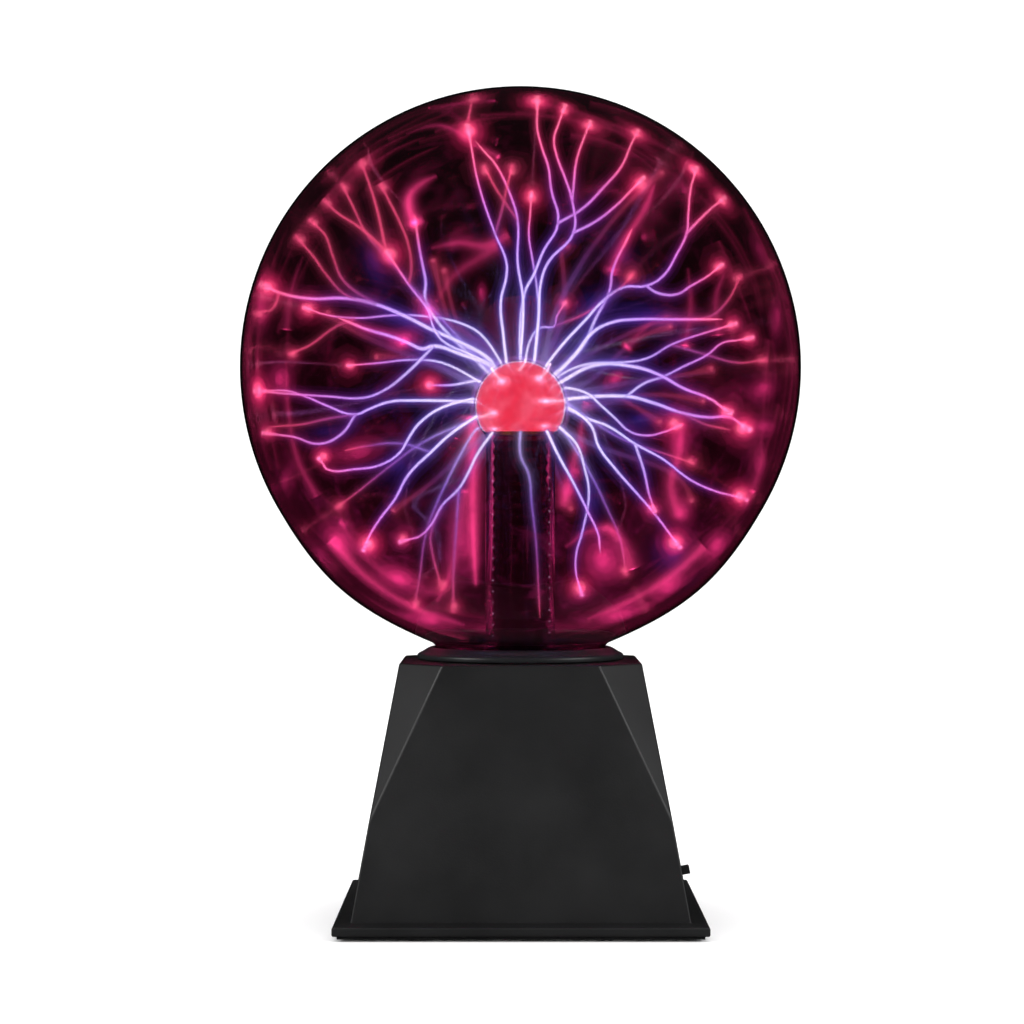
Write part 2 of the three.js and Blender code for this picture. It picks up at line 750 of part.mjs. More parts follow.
const filmOutline = new THREE.Shape();
filmOutline.moveTo(-5.7, -3);
filmOutline.lineTo(5.7, -3);
filmOutline.quadraticCurveTo(6.5, -3, 6.5, -2.2);
filmOutline.lineTo(6.5, 2.2);
filmOutline.quadraticCurveTo(6.5, 3, 5.7, 3);
filmOutline.lineTo(-5.7, 3);
filmOutline.quadraticCurveTo(-6.5, 3, -6.5, 2.2);
filmOutline.lineTo(-6.5, -2.2);
filmOutline.quadraticCurveTo(-6.5, -3, -5.7, -3);
const filmSettings = { depth: 11, curveSegments: 3, bevelEnabled: false };
const filmBody = new THREE.ExtrudeGeometry(filmOutline, filmSettings);
addPiece('film_capacitor', filmBody, filmRed).position.set(4, -20, partsFloor);

const chipJoins = [block(9.4, 6.4, partsFloor + 0.6, partsFloor + 3.9)];
for (const legX of [-3.81, -1.27, 1.27, 3.81]) {
  for (const side of [-1, 1]) {
    chipJoins.push(block(0.9, 0.8, partsFloor, partsFloor + 2.4, legX, side * 3.5));
  }
}
addPiece('driver_chip', carve(chipJoins), chipBlack).position.set(2, 21, 0);

// ---------------------------------------------------------------- mode switch

const switchGroup = wallGroup(switchFrame);
const plateFront = switchBack - fitGap;
const plateBack = plateFront - switchPlateThickness;
const canBack = plateFront - switchCanDepth;
const sliderFootTop = plateBack - fitGap;
const sliderFootBottom = sliderFootTop - 1.4;
const stemPlay = 2 * fitGap;
const sliderFootLength = knobWidth + 2;
const chamberLength = sliderFootLength + 2 * switchTravel + 2 * stemPlay;
const chamberHeight = knobHeight + 2;
const switchJoins = [
  block(switchPlateLength, switchPlateHeight, plateBack, plateFront),
  block(switchCanLength, switchPlateHeight, canBack, plateFront),
];
for (const along of [-3, 0, 3]) {
  switchJoins.push(block(0.7, 1.8, canBack - 3, canBack + 0.5, along));
}
const switchCuts = [
  block(chamberLength, chamberHeight, sliderFootBottom - fitGap, plateBack),
  block(slotLength, knobHeight + 2 * fitGap, plateBack - 0.1, plateFront + 1),
];
for (const along of switchPostPlaces) {
  switchCuts.push(rod(1.2, plateBack - 1, plateFront + 1, along, 0, 12));
}
addPiece('switch_body', carve(switchJoins, switchCuts), zincSteel, switchGroup);

const sliderJoins = [
  block(sliderFootLength, chamberHeight - 2 * fitGap, sliderFootBottom, sliderFootTop),
  block(knobWidth, knobHeight, sliderFootTop - 0.5, knobReach),
];
addPiece('switch_slider', carve(sliderJoins), blackPlastic, switchGroup);

const smallScrewProfile = [
  [0, -1.1],
  [1, -1.1],
  [1.8, -0.5],
  [1.8, 0],
  [0.8, 0],
  [0.8, 2.6],
  [0, 3.2],
];
switchPostPlaces.forEach((along, index) => {
  const fixing = addPiece(`switch_screw_${index + 1}`, turned(smallScrewProfile, 12), zincSteel, switchGroup);
  fixing.position.set(along, 0, plateBack - fitGap);
});

// ---------------------------------------------------------------- power socket

const jackGroup = wallGroup(jackFrame);
const bezelBack = fitGap;
const jackBack = bezelBack - jackLength;
const jackFloor = jackBack + 2.4;
const jackProfile = [
  [jackPinRadius + fitGap, jackFloor],
  [jackPinRadius + fitGap, jackBack],
  [jackBarrelRadius, jackBack],
  [jackBarrelRadius, bezelBack],
  [jackBezelRadius, bezelBack],
  [jackBezelRadius, bezelBack + jackBezel - 0.5],
  [jackBezelRadius - 0.5, bezelBack + jackBezel],
  [jackBoreRadius, bezelBack + jackBezel],
  [jackBoreRadius, jackFloor],
  [jackPinRadius + fitGap, jackFloor],
];
addPiece('power_jack', turned(jackProfile, 20), blackPlastic, jackGroup);
const pinProfile = [
  [0, jackBack - 2.5],
  [jackPinRadius, jackBack - 2.5],
  [jackPinRadius, -0.8],
  [jackPinRadius - 0.4, -0.3],
  [0, -0.3],
];
addPiece('jack_pin', turned(pinProfile, 12), brass, jackGroup);
const nutFront = -housingWall - fitGap;
const nutBlank = rod(nutRadius, nutFront - nutThickness, nutFront, 0, 0, 6);
const nutBore = rod(jackBarrelRadius + fitGap, nutFront - nutThickness - 1, nutFront + 1);
addPiece('jack_nut', carve([nutBlank], [nutBore]), zincSteel, jackGroup);

// ---------------------------------------------------------------- microphone

const microphoneGroup = wallGroup(microphoneFrame);
const grommetBack = grommetFront - grommetWall - fitGap - microphoneLength;
const grommetLip = microphoneRadius - 1.6;
const grommetProfile = [
  [grommetLip, grommetFront],
  [grommetLip, grommetFront - grommetWall],
  [microphoneRadius + fitGap, grommetFront - grommetWall],
  [microphoneRadius + fitGap, grommetBack],
  [grommetRadius, grommetBack],
  [grommetRadius, grommetFront],
  [grommetLip, grommetFront],
];
addPiece('mic_grommet', turned(grommetProfile, 16), blackRubber, microphoneGroup);
const capsuleFront = grommetFront - grommetWall - fitGap;
const capsule = rod(microphoneRadius, capsuleFront - microphoneLength, capsuleFront);
addPiece('microphone', capsule, aluminium, microphoneGroup);

// ---------------------------------------------------------------- wires

// A point given in a wall's frame, as a point of the whole object.
function onWall(frame, x, y, z) {
  return new THREE.Vector3(x, y, z).applyMatrix4(frame).toArray();
}

const leadStub = 2.5; // straight length at a terminal
const leadLanding = 3; // from the board's edge, or from the end of the stub, to the wire's pad
const switchWall = { frame: switchFrame, axis: 0, boardEdge: boardWidth / 2 };
const jackWall = { frame: jackFrame, axis: 1, boardEdge: boardDepth / 2 };
const microphoneWall = { frame: microphoneFrame, axis: 1, boardEdge: boardDepth / 2 };

// A wire from a terminal on a wall: straight out of it, then in a soft bend down to a pad that lies
// inside both the terminal and the edge of the board.
function addLead(name, material, wall, [x, y, z], padAlong) {
  const start = onWall(wall.frame, x, y, z);
  const clear = onWall(wall.frame, x, y, z - leadStub);
  const padReach = Math.min(clear[wall.axis], wall.boardEdge) - leadLanding;
  const pad = wall.axis === 0 ? [padReach, padAlong] : [padAlong, padReach];
  const end = [...pad, partsFloor];
  const aboveEnd = [...pad, partsFloor + 3];
  addPiece(name, wire([start, clear, aboveEnd, end], leadRadius, 10), material);
}

const jackEnd = jackBack - fitGap;
const pinEnd = jackEnd - 2.5;
const lugEnd = canBack - 3 - fitGap;
const capsuleBack = capsuleFront - microphoneLength - fitGap;
addLead('jack_lead_plus', redWire, jackWall, [0, 0, pinEnd], -2);
addLead('jack_lead_minus', blackWire, jackWall, [3.4, 0, jackEnd], -9);
addLead('switch_lead_1', redWire, switchWall, [-3, 0, lugEnd], -5);
addLead('switch_lead_2', blackWire, switchWall, [3, 0, lugEnd], 3);
addLead('mic_lead_1', whiteWire, microphoneWall, [-2, 0, capsuleBack], -18);
addLead('mic_lead_2', blackWire, microphoneWall, [2, 0, capsuleBack], -26);

// The high-voltage lead: out of the side of the coil, up to the axis and through the sleeve.
const leadStart = coilX + coilRadius + fitGap;
const leadRoute = [
  [leadStart, 0, coilTop - 5],
  [leadStart + 2.5, 0, coilTop - 4.6],
  [leadStart + 5, 0, coilTop + 2],
  [leadStart + 4, 0, coilTop + 14],
  [2, 0, clampBottom - 12],
  [0, 0, clampBottom],
  [0, 0, neckBottom + 20],
  [0, 0, contactDiscBottom - fitGap],
];
addPiece('hv_lead', wire(leadRoute, hvLeadRadius, 22), siliconeRed);

export default plasmaBall;
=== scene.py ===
"""Plasma ball: a gas-filled glass globe on a faceted moulded stand.

Metres, +Z up. The front faces -Y and the origin is on the desk, at the centre of the stand. Sizes
in the classes are millimetres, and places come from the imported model.
"""

import logging
import math
import random
from collections.abc import Sequence
from dataclasses import dataclass, field
from enum import Enum

import bmesh
import bpy
from mathutils import Matrix, Vector


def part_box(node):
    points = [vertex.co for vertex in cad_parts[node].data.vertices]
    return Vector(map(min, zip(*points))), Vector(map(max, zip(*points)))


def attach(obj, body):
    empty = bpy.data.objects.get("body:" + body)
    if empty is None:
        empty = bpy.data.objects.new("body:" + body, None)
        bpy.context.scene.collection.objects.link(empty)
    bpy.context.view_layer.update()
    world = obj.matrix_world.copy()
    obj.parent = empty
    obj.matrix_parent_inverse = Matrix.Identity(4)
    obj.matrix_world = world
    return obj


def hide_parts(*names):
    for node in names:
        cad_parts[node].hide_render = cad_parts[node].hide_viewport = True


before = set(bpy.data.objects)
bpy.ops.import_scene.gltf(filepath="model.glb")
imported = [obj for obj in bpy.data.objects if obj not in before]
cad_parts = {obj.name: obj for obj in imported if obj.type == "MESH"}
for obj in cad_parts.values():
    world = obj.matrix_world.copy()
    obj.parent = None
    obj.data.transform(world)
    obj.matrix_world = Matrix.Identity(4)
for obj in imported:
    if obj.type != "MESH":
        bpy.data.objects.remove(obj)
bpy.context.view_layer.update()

log = logging.getLogger("plasma_ball")

MM = 0.001
GLOBE_RADIUS = (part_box("glass_globe")[1].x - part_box("glass_globe")[0].x) / 2
GLOBE_CENTRE = Vector((0, 0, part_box("glass_globe")[1].z - GLOBE_RADIUS))
BULB_RADIUS = 16.5 * MM
BULB_CENTRE = Vector((0, 0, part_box("stem_tube")[1].z - BULB_RADIUS))
VIEWPOINT = Vector((-0.003, -1.031, 0.1446))
TOWER_FOOT_WIDTH, TOWER_TOP_WIDTH = 115.4, 84.6  # millimetres, as are the heights
TOWER_FOOT, TOWER_TOP = 5.8, 92.0

Point = tuple[float, float]


# ------------------------------------------------------------------ shared helpers


def linear(code: str) -> tuple[float, float, float, float]:
    """Turns an sRGB hex colour to a linear one.

    Args:
        code: six hex digits after a hash.

    Returns:
        Red, green, blue and an alpha of one.
    """
    values = []
    for start in (1, 3, 5):
        share = int(code[start : start + 2], 16) / 255
        values.append(share / 12.92 if share <= 0.04045 else ((share + 0.055) / 1.055) ** 2.4)
    return (values[0], values[1], values[2], 1.0)


def add_node(
    tree: bpy.types.NodeTree,
    kind: str,
    settings: dict[str, object] | None = None,
    values: dict[str | int, object] | None = None,
    links: dict[str | int, bpy.types.NodeSocket] | None = None,
    stops: Sequence[tuple[float, str]] = (),
) -> bpy.types.Node:
    """Adds a node with its settings and links.

    Args:
        tree: the node tree it goes in.
        kind: the node's type name.
        settings: properties of the node.
        values: plain values of its input sockets.
        links: output sockets that feed its inputs.
        stops: places and hex colours, for a node that holds a colour ramp.

    Returns:
        The new node.
    """
    node = tree.nodes.new(kind)
    for name, value in (settings or {}).items():
        setattr(node, name, value)
    for socket, value in (values or {}).items():
        node.inputs[socket].default_value = value
    for socket, source in (links or {}).items():
        tree.links.new(source, node.inputs[socket])
    for index, (place, code) in enumerate(stops):
        elements = node.color_ramp.elements
        element = elements[index] if index < 2 else elements.new(place)
        element.position = place
        element.color = linear(code)
    return node


def turned(points: Sequence[Point], segments: int, start: Matrix | None = None) -> bmesh.types.BMesh:
    """Spins a closed or axis-to-axis outline into a solid.

    Args:
        points: radius and height of each corner, in millimetres.
        segments: steps of the full turn.
        start: where the solid goes.

    Returns:
        A closed mesh with its faces outward.
    """
    bm = bmesh.new()
    corners = [bm.verts.new((radius * MM, 0, height * MM)) for radius, height in points]
    edges = [bm.edges.new(pair) for pair in zip(corners, corners[1:])]
    if points[0][0] > 0 and points[-1][0] > 0:
        edges.append(bm.edges.new((corners[-1], corners[0])))
    bmesh.ops.spin(
        bm,
        geom=[*corners, *edges],
        cent=(0, 0, 0),
        axis=(0, 0, 1),
        angle=2 * math.pi,
        steps=segments,
        use_merge=True,
    )
    bmesh.ops.remove_doubles(bm, verts=bm.verts, dist=1e-6)
    bmesh.ops.recalc_face_normals(bm, faces=bm.faces)
    if start is not None:
        bmesh.ops.transform(bm, matrix=start, verts=bm.verts)
    return bm


def soften(bm: bmesh.types.BMesh, width: float, segments: int = 3, angle: float = 35.0) -> None:
    """Rounds a mesh's sharp edges.

    Args:
        bm: the mesh.
        width: how wide the round is, in millimetres.
        segments: steps across it.
        angle: the least angle between two faces that counts as sharp, in degrees.
    """
    sharp = [e for e in bm.edges if e.is_manifold and e.calc_face_angle(0) > math.radians(angle)]
    bmesh.ops.bevel(
        bm,
        geom=sharp,
        offset=width * MM,
        offset_type="OFFSET",
        affect="EDGES",
        segments=segments,
        profile=0.5,
        material=-1,
        clamp_overlap=True,
    )


def copy_of(node: str) -> bmesh.types.BMesh:
    """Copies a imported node's mesh and joins its loose triangles.

    Args:
        node: the node's name.

    Returns:
        The mesh with flat areas as single faces.
    """
    bm = bmesh.new()
    bm.from_mesh(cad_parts[node].data)
    bmesh.ops.remove_doubles(bm, verts=bm.verts, dist=2e-6)
    bmesh.ops.dissolve_limit(
        bm, angle_limit=math.radians(0.6), verts=bm.verts, edges=bm.edges, use_dissolve_boundaries=False
    )
    return bm


def add_piece(
    name: str,
    bm: bmesh.types.BMesh,
    finish: "Finish",
    replaces: Sequence[str] = (),
    body: str = "stand",
    crease: float = 40.0,
) -> bpy.types.Object:
    """Makes an object of a mesh, dresses it and sets it on a body.

    Args:
        name: the piece's name.
        bm: its mesh, which is freed.
        finish: its material.
        replaces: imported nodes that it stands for.
        body: the body that it rides on.
        crease: faces that meet at more than this many degrees show an edge.

    Returns:
        The new object.
    """
    mesh = bpy.data.meshes.new(name)
    bm.to_mesh(mesh)
    bm.free()
    mesh.polygons.foreach_set("use_smooth", [True] * len(mesh.polygons))
    mesh.set_sharp_from_angle(angle=math.radians(crease))
    obj = bpy.data.objects.new(name, mesh)
    bpy.context.scene.collection.objects.link(obj)
    if not mesh.materials:
        mesh.materials.append(finish.material())
    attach(obj, body)
    if replaces:
        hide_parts(*replaces)
    log.info("%s: %d faces, %s", name, len(mesh.polygons), finish.name)
    return obj


def even_shading(obj: bpy.types.Object) -> None:
    """Lets the large faces lead the shading, so that rounds stay crisp beside them."""
    modifier = obj.modifiers.new("even shading", "WEIGHTED_NORMAL")
    modifier.keep_sharp = True
    modifier.weight = 90


def wall_frame(side: int, along: float, height: float) -> Matrix:
    """The frame of a place on a wall of the tower.

    Args:
        side: quarter turns from the +X wall.
        along: level distance from the wall's middle, in millimetres.
        height: height above the desk, in millimetres.

    Returns:
        A matrix whose Z points out of the wall and whose Y points up it.
    """
    slope = (TOWER_FOOT_WIDTH - TOWER_TOP_WIDTH) / 2 / (TOWER_TOP - TOWER_FOOT)
    lean = math.atan(slope)
    half = TOWER_TOP_WIDTH / 2 + slope * (TOWER_TOP - height)
    upright = Matrix(
        (
            (0, -math.sin(lean), math.cos(lean), half * MM),
            (1, 0, 0, along * MM),
            (0, math.cos(lean), math.sin(lean), height * MM),
            (0, 0, 0, 1),
        )
    )
    return Matrix.Rotation(side * math.pi / 2, 4, "Z") @ upright


# ------------------------------------------------------------------ finishes


class Grain(Enum):
    """How a surface was made."""

    SPARKED = "fine even grain of a spark-eroded mould"
    BRUSHED = "fine lines along one axis"
    TURNED = "fine rings from a lathe"
    PLATED = "soft cloudy plating"
    WOUND = "wound or woven courses"


class Wired:
    """A material that is made of nodes once and then found by its name."""

    name: str

    def material(self) -> bpy.types.Material:
        """Returns the material, made once."""
        found = bpy.data.materials.get(self.name)
        if found is None:
            found = bpy.data.materials.new(self.name)
            found.use_nodes = True
            found.node_tree.nodes.clear()
            self.wire(found, found.node_tree)
        return found

    def wire(self, material: bpy.types.Material, tree: bpy.types.NodeTree) -> None:
        """Builds the nodes.

        Args:
            material: the material.
            tree: its node tree.
        """
        raise NotImplementedError


@dataclass(frozen=True)
class Finish(Wired):
    """A solid finish: two tones that drift into each other, a grain, and uneven gloss."""

    name: str
    tone: str
    second_tone: str
    roughness: float
    roughness_drift: float = 0.06
    grain: Grain = Grain.SPARKED
    grain_size: float = 0.6  # millimetres
    relief: float = 0.1
    metallic: float = 0.0
    ior: float = 1.5
    coat: float = 0.0

    def wire(self, material: bpy.types.Material, tree: bpy.types.NodeTree) -> None:
        """Builds the nodes.

        Args:
            material: the material.
            tree: its node tree.
        """
        place = add_node(tree, "ShaderNodeTexCoord").outputs["Object"]
        stretch = {
            Grain.SPARKED: (1, 1, 1),
            Grain.BRUSHED: (0.04, 1, 1),
            Grain.TURNED: (0.15, 0.15, 1),
            Grain.PLATED: (1, 1, 1),
            Grain.WOUND: (0.2, 0.2, 1),
        }[self.grain]
        mapped = add_node(tree, "ShaderNodeMapping", values={"Scale": stretch}, links={"Vector": place})
        fine = add_node(
            tree,
            "ShaderNodeTexNoise",
            values={"Scale": 1000 / self.grain_size, "Detail": 3.0, "Roughness": 0.6},
            links={"Vector": mapped.outputs["Vector"]},
        )
        broad = add_node(
            tree,
            "ShaderNodeTexNoise",
            values={"Scale": 1000 / 28, "Detail": 4.0, "Roughness": 0.55},
            links={"Vector": place},
        )
        tones = add_node(
            tree,
            "ShaderNodeValToRGB",
            links={"Fac": broad.outputs["Fac"]},
            stops=((0.35, self.tone), (0.7, self.second_tone)),
        )
        gloss = add_node(
            tree,
            "ShaderNodeMapRange",
            values={
                "From Min": 0.3,
                "From Max": 0.7,
                "To Min": self.roughness - self.roughness_drift,
                "To Max": self.roughness + self.roughness_drift,
            },
            links={"Value": broad.outputs["Fac"]},
        )
        bump = add_node(
            tree,
            "ShaderNodeBump",
            values={"Strength": self.relief, "Distance": self.grain_size * MM * 0.4},
            links={"Height": fine.outputs["Fac"]},
        )
        shader = add_node(
            tree,
            "ShaderNodeBsdfPrincipled",
            values={
                "Metallic": self.metallic,
                "IOR": self.ior,
                "Coat Weight": self.coat,
                "Coat Roughness": 0.15,
            },
            links={
                "Base Color": tones.outputs["Color"],
                "Roughness": gloss.outputs["Result"],
                "Normal": bump.outputs["Normal"],
            },
        )
        add_node(tree, "ShaderNodeOutputMaterial", links={"Surface": shader.outputs["BSDF"]})


@dataclass(frozen=True)
class Laminate(Finish):
    """Glass-fibre board with solder mask: copper tracks show as lighter green under the mask."""

    def wire(self, material: bpy.types.Material, tree: bpy.types.NodeTree) -> None:
        """Builds the nodes, with tracks about 1.5 mm wide.

        Args:
            material: the material.
            tree: its node tree.
        """
        place = add_node(tree, "ShaderNodeTexCoord").outputs["Object"]
        tracks = add_node(
            tree,
            "ShaderNodeTexVoronoi",
            settings={"feature": "F1", "distance": "MANHATTAN"},
            values={"Scale": 1000 / 9, "Randomness": 0.75},
            links={"Vector": place},
        )
        tones = add_node(
            tree,
            "ShaderNodeValToRGB",
            settings={},
            links={"Fac": tracks.outputs["Distance"]},
            stops=((0.42, self.tone), (0.46, self.second_tone)),
        )
        bump = add_node(
            tree,
            "ShaderNodeBump",
            values={"Strength": self.relief, "Distance": 0.05 * MM},
            links={"Height": tracks.outputs["Distance"]},
        )
        shader = add_node(
            tree,
            "ShaderNodeBsdfPrincipled",
            values={"Roughness": self.roughness, "IOR": self.ior},
            links={"Base Color": tones.outputs["Color"], "Normal": bump.outputs["Normal"]},
        )
        add_node(tree, "ShaderNodeOutputMaterial", links={"Surface": shader.outputs["BSDF"]})


@dataclass(frozen=True)
class BlownGlass(Finish):
    """Blown soda-lime glass with a grey cast: smooth, with faint waves from the blowing."""

    def wire(self, material: bpy.types.Material, tree: bpy.types.NodeTree) -> None:
        """Builds the nodes.

        Args:
            material: the material.
            tree: its node tree.
        """
        place = add_node(tree, "ShaderNodeTexCoord").outputs["Object"]
        waves = add_node(
            tree,
            "ShaderNodeTexNoise",
            values={"Scale": 1000 / self.grain_size, "Detail": 1.0},
            links={"Vector": place},
        )
        bump = add_node(
            tree,
            "ShaderNodeBump",
            values={"Strength": self.relief, "Distance": 0.2 * MM},
            links={"Height": waves.outputs["Fac"]},
        )
        shader = add_node(
            tree,
            "ShaderNodeBsdfPrincipled",
            values={
                "Base Color": linear(self.tone),
                "Roughness": self.roughness,
                "IOR": self.ior,
                "Transmission Weight": 1.0,
            },
            links={"Normal": bump.outputs["Normal"]},
        )
        add_node(tree, "ShaderNodeOutputMaterial", links={"Surface": shader.outputs["BSDF"]})


@dataclass(frozen=True)
class HotWool(Finish):
    """Steel wool in the discharge: fibres lit red, with paler tangles."""

    light: float = 4.0

    def wire(self, material: bpy.types.Material, tree: bpy.types.NodeTree) -> None:
        """Builds the nodes.

        Args:
            material: the material.
            tree: its node tree.
        """
        place = add_node(tree, "ShaderNodeTexCoord").outputs["Object"]
        fibres = add_node(
            tree,
            "ShaderNodeTexNoise",
            values={"Scale": 1000 / self.grain_size, "Detail": 5.0, "Roughness": 0.65, "Distortion": 1.2},
            links={"Vector": place},
        )
        tangles = add_node(
            tree,
            "ShaderNodeTexNoise",
            values={"Scale": 1000 / 9, "Detail": 3.0, "Distortion": 0.6},
            links={"Vector": place},
        )
        both = add_node(
            tree,
            "ShaderNodeMath",
            settings={"operation": "MULTIPLY_ADD"},
            values={1: 0.5},
            links={0: fibres.outputs["Fac"], 2: tangles.outputs["Fac"]},
        )
        tones = add_node(
            tree,
            "ShaderNodeValToRGB",
            links={"Fac": both.outputs["Value"]},
            stops=((0.66, self.tone), (0.9, self.second_tone)),
        )
        bump = add_node(
            tree,
            "ShaderNodeBump",
            values={"Strength": self.relief, "Distance": 0.4 * MM},
            links={"Height": fibres.outputs["Fac"]},
        )
        shader = add_node(
            tree,
            "ShaderNodeBsdfPrincipled",
            values={
                "Base Color": linear("#4a1018"),
                "Roughness": self.roughness,
                "Emission Strength": self.light,
            },
            links={"Emission Color": tones.outputs["Color"], "Normal": bump.outputs["Normal"]},
        )
        material.cycles.emission_sampling = "NONE"
        add_node(tree, "ShaderNodeOutputMaterial", links={"Surface": shader.outputs["BSDF"]})


@dataclass(frozen=True)
class GlowingGas(Wired):
    """Ionised gas: light that hides little behind it, coloured by how far it is from the electrode."""

    name: str
    stops: tuple[tuple[float, str], ...]  # millimetres from the electrode's centre, and colour
    density: float
    light: float
    wisps: float = 0.0  # how much the density drifts, from none to all of it
    wisp_size: float = 20.0  # millimetres
    wisp_floor: float = 0.45
    low_heavy: bool = False  # denser towards the bottom of the globe
    body_tone: str = "#000000"
    body_light: float = 0.0  # light given off by each metre of the gas inside

    def wire(self, material: bpy.types.Material, tree: bpy.types.NodeTree) -> None:
        """Builds the nodes.

        Args:
            material: the material.
            tree: its node tree.
        """
        place = add_node(tree, "ShaderNodeTexCoord").outputs["Object"]
        reach = 115.0
        away = add_node(
            tree,
            "ShaderNodeVectorMath",
            settings={"operation": "DISTANCE"},
            values={1: tuple(BULB_CENTRE)},
            links={0: place},
        )
        share = add_node(
            tree,
            "ShaderNodeMapRange",
            values={"From Min": 0.0, "From Max": reach * MM},
            links={"Value": away.outputs["Value"]},
        )
        colour = add_node(
            tree,
            "ShaderNodeValToRGB",
            links={"Fac": share.outputs["Result"]},
            stops=[(at / reach, code) for at, code in self.stops],
        )
        light = add_node(
            tree,
            "ShaderNodeEmission",
            values={"Strength": self.light},
            links={"Color": colour.outputs["Color"]},
        )
        clear = add_node(tree, "ShaderNodeBsdfTransparent")
        mix = add_node(
            tree,
            "ShaderNodeMixShader",
            values={0: self.density},
            links={1: clear.outputs["BSDF"], 2: light.outputs["Emission"]},
        )
        if self.wisps:
            tree.links.new(self.drift(tree, place), mix.inputs[0])
        material.cycles.emission_sampling = "NONE"
        links = {"Surface": mix.outputs["Shader"]}
        if self.body_light:
            material.cycles.homogeneous_volume = True
            body = add_node(
                tree,
                "ShaderNodeEmission",
                values={"Color": linear(self.body_tone), "Strength": self.body_light},
            )
            links["Volume"] = body.outputs["Emission"]
        add_node(tree, "ShaderNodeOutputMaterial", links=links)

    def drift(self, tree: bpy.types.NodeTree, place: bpy.types.NodeSocket) -> bpy.types.NodeSocket:
        """Adds the drifting density.

        Args:
            tree: the node tree.
            place: the socket with the object's own coordinates.

        Returns:
            The density's socket.
        """
        smoke = add_node(
            tree,
            "ShaderNodeTexNoise",
            values={"Scale": 1000 / self.wisp_size, "Detail": 3.0, "Roughness": 0.5, "Distortion": 0.9},
            links={"Vector": place},
        )
        density = add_node(
            tree,
            "ShaderNodeMapRange",
            settings={"interpolation_type": "SMOOTHSTEP"},
            values={
                "From Min": self.wisp_floor,
                "From Max": self.wisp_floor + 0.25,
                "To Min": self.density * (1 - self.wisps),
                "To Max": self.density,
            },
            links={"Value": smoke.outputs["Fac"]},
        ).outputs["Result"]
        if not self.low_heavy:
            return density
        height = add_node(tree, "ShaderNodeSeparateXYZ", links={"Vector": place})
        low = add_node(
            tree,
            "ShaderNodeMapRange",
            values={
                "From Min": GLOBE_CENTRE.z - 0.09,
                "From Max": GLOBE_CENTRE.z + 0.02,
                "To Min": 1.0,
                "To Max": 0.22,
            },
            links={"Value": height.outputs["Z"]},
        )
        both = add_node(
            tree,
            "ShaderNodeMath",
            settings={"operation": "MULTIPLY"},
            links={0: density, 1: low.outputs["Result"]},
        )
        return both.outputs["Value"]


# Moulded ABS from a spark-eroded mould: a soft satin black whose fine grain breaks up reflections.
# The real grain is about 0.2 mm; it is drawn at 0.7 mm, the finest that shows.
BLACK_ABS = Finish("moulded black ABS", "#19191a", "#1e1e1f", 0.44, 0.05, Grain.SPARKED, 0.7, 0.16)
# The collar is the same ABS from a smoother, newer mould: greyer and a little glossier.
DARK_ABS = Finish("moulded dark ABS", "#1e1f21", "#242628", 0.36, 0.05, Grain.SPARKED, 0.7, 0.1)
# Moulded rubber: dull, with a dusty bloom.
RUBBER = Finish("moulded rubber", "#111112", "#1b1b1b", 0.82, 0.08, Grain.SPARKED, 0.9, 0.3)
# Turned brass: warm metal with fine rings.
BRASS = Finish("turned brass", "#b5924c", "#a27f3c", 0.3, 0.06, Grain.TURNED, 0.25, 0.12, metallic=1.0)
# Zinc-plated steel: pale grey metal with a cloudy blue-yellow cast.
ZINC_STEEL = Finish(
    "zinc-plated steel", "#b9bbbd", "#a9a893", 0.34, 0.1, Grain.PLATED, 0.4, 0.08, metallic=1.0
)
# Glass-fibre laminate under green solder mask: half gloss, tracks show lighter.
LAMINATE = Laminate("glass-fibre laminate", "#2a6d43", "#17472a", 0.38, relief=0.4)
# Sintered ferrite: dark, close-grained ceramic with a dull stony face.
FERRITE = Finish("sintered ferrite", "#2f3032", "#252628", 0.62, 0.08, Grain.SPARKED, 0.35, 0.35, ior=2.0)
# Polyester winding tape: glossy amber courses about 1 mm apart.
TAPE = Finish("polyester winding tape", "#c9a63a", "#b38c26", 0.24, 0.06, Grain.WOUND, 1.0, 0.5, ior=1.6)
# Extruded aluminium: pale metal, fine lines along the extrusion.
ALUMINIUM = Finish(
    "extruded aluminium", "#c4c6c8", "#aeb0b2", 0.36, 0.08, Grain.BRUSHED, 0.3, 0.15, metallic=1.0
)
# Shrunk PVC sleeve: smooth, glossy dark blue.
SLEEVING = Finish("shrunk PVC sleeve", "#20305e", "#1a274c", 0.26, 0.05, Grain.SPARKED, 2.0, 0.1)
# Dipped epoxy: glossy brick red with a slightly lumpy skin.
DIPPED_EPOXY = Finish("dipped epoxy", "#9c2f22", "#84271c", 0.28, 0.06, Grain.SPARKED, 1.8, 0.3)
# Moulded epoxy of a chip: matt black with a fine even grain.
CHIP_EPOXY = Finish("moulded epoxy", "#1b1b1d", "#222224", 0.6, 0.05, Grain.SPARKED, 0.4, 0.25)
# PVC wire insulation: smooth and half gloss.
RED_PVC = Finish("red PVC insulation", "#b02020", "#981a1a", 0.35, 0.05, Grain.SPARKED, 1.2, 0.08)
BLACK_PVC = Finish("black PVC insulation", "#181818", "#202020", 0.35, 0.05, Grain.SPARKED, 1.2, 0.08)
WHITE_PVC = Finish("white PVC insulation", "#dadada", "#cfccc4", 0.35, 0.05, Grain.SPARKED, 1.2, 0.08)
# Silicone insulation: soft brick red, duller than PVC.
SILICONE = Finish("silicone insulation", "#a83a2c", "#943226", 0.55, 0.06, Grain.SPARKED, 1.0, 0.15)
# The globe: blown soda-lime glass with a grey cast, clear enough to see every thread.
GLOBE_GLASS = BlownGlass(
    "blown soda-lime glass", "#b4aeb2", "#b4aeb2", 0.0, grain_size=60, relief=0.03, ior=1.5
)
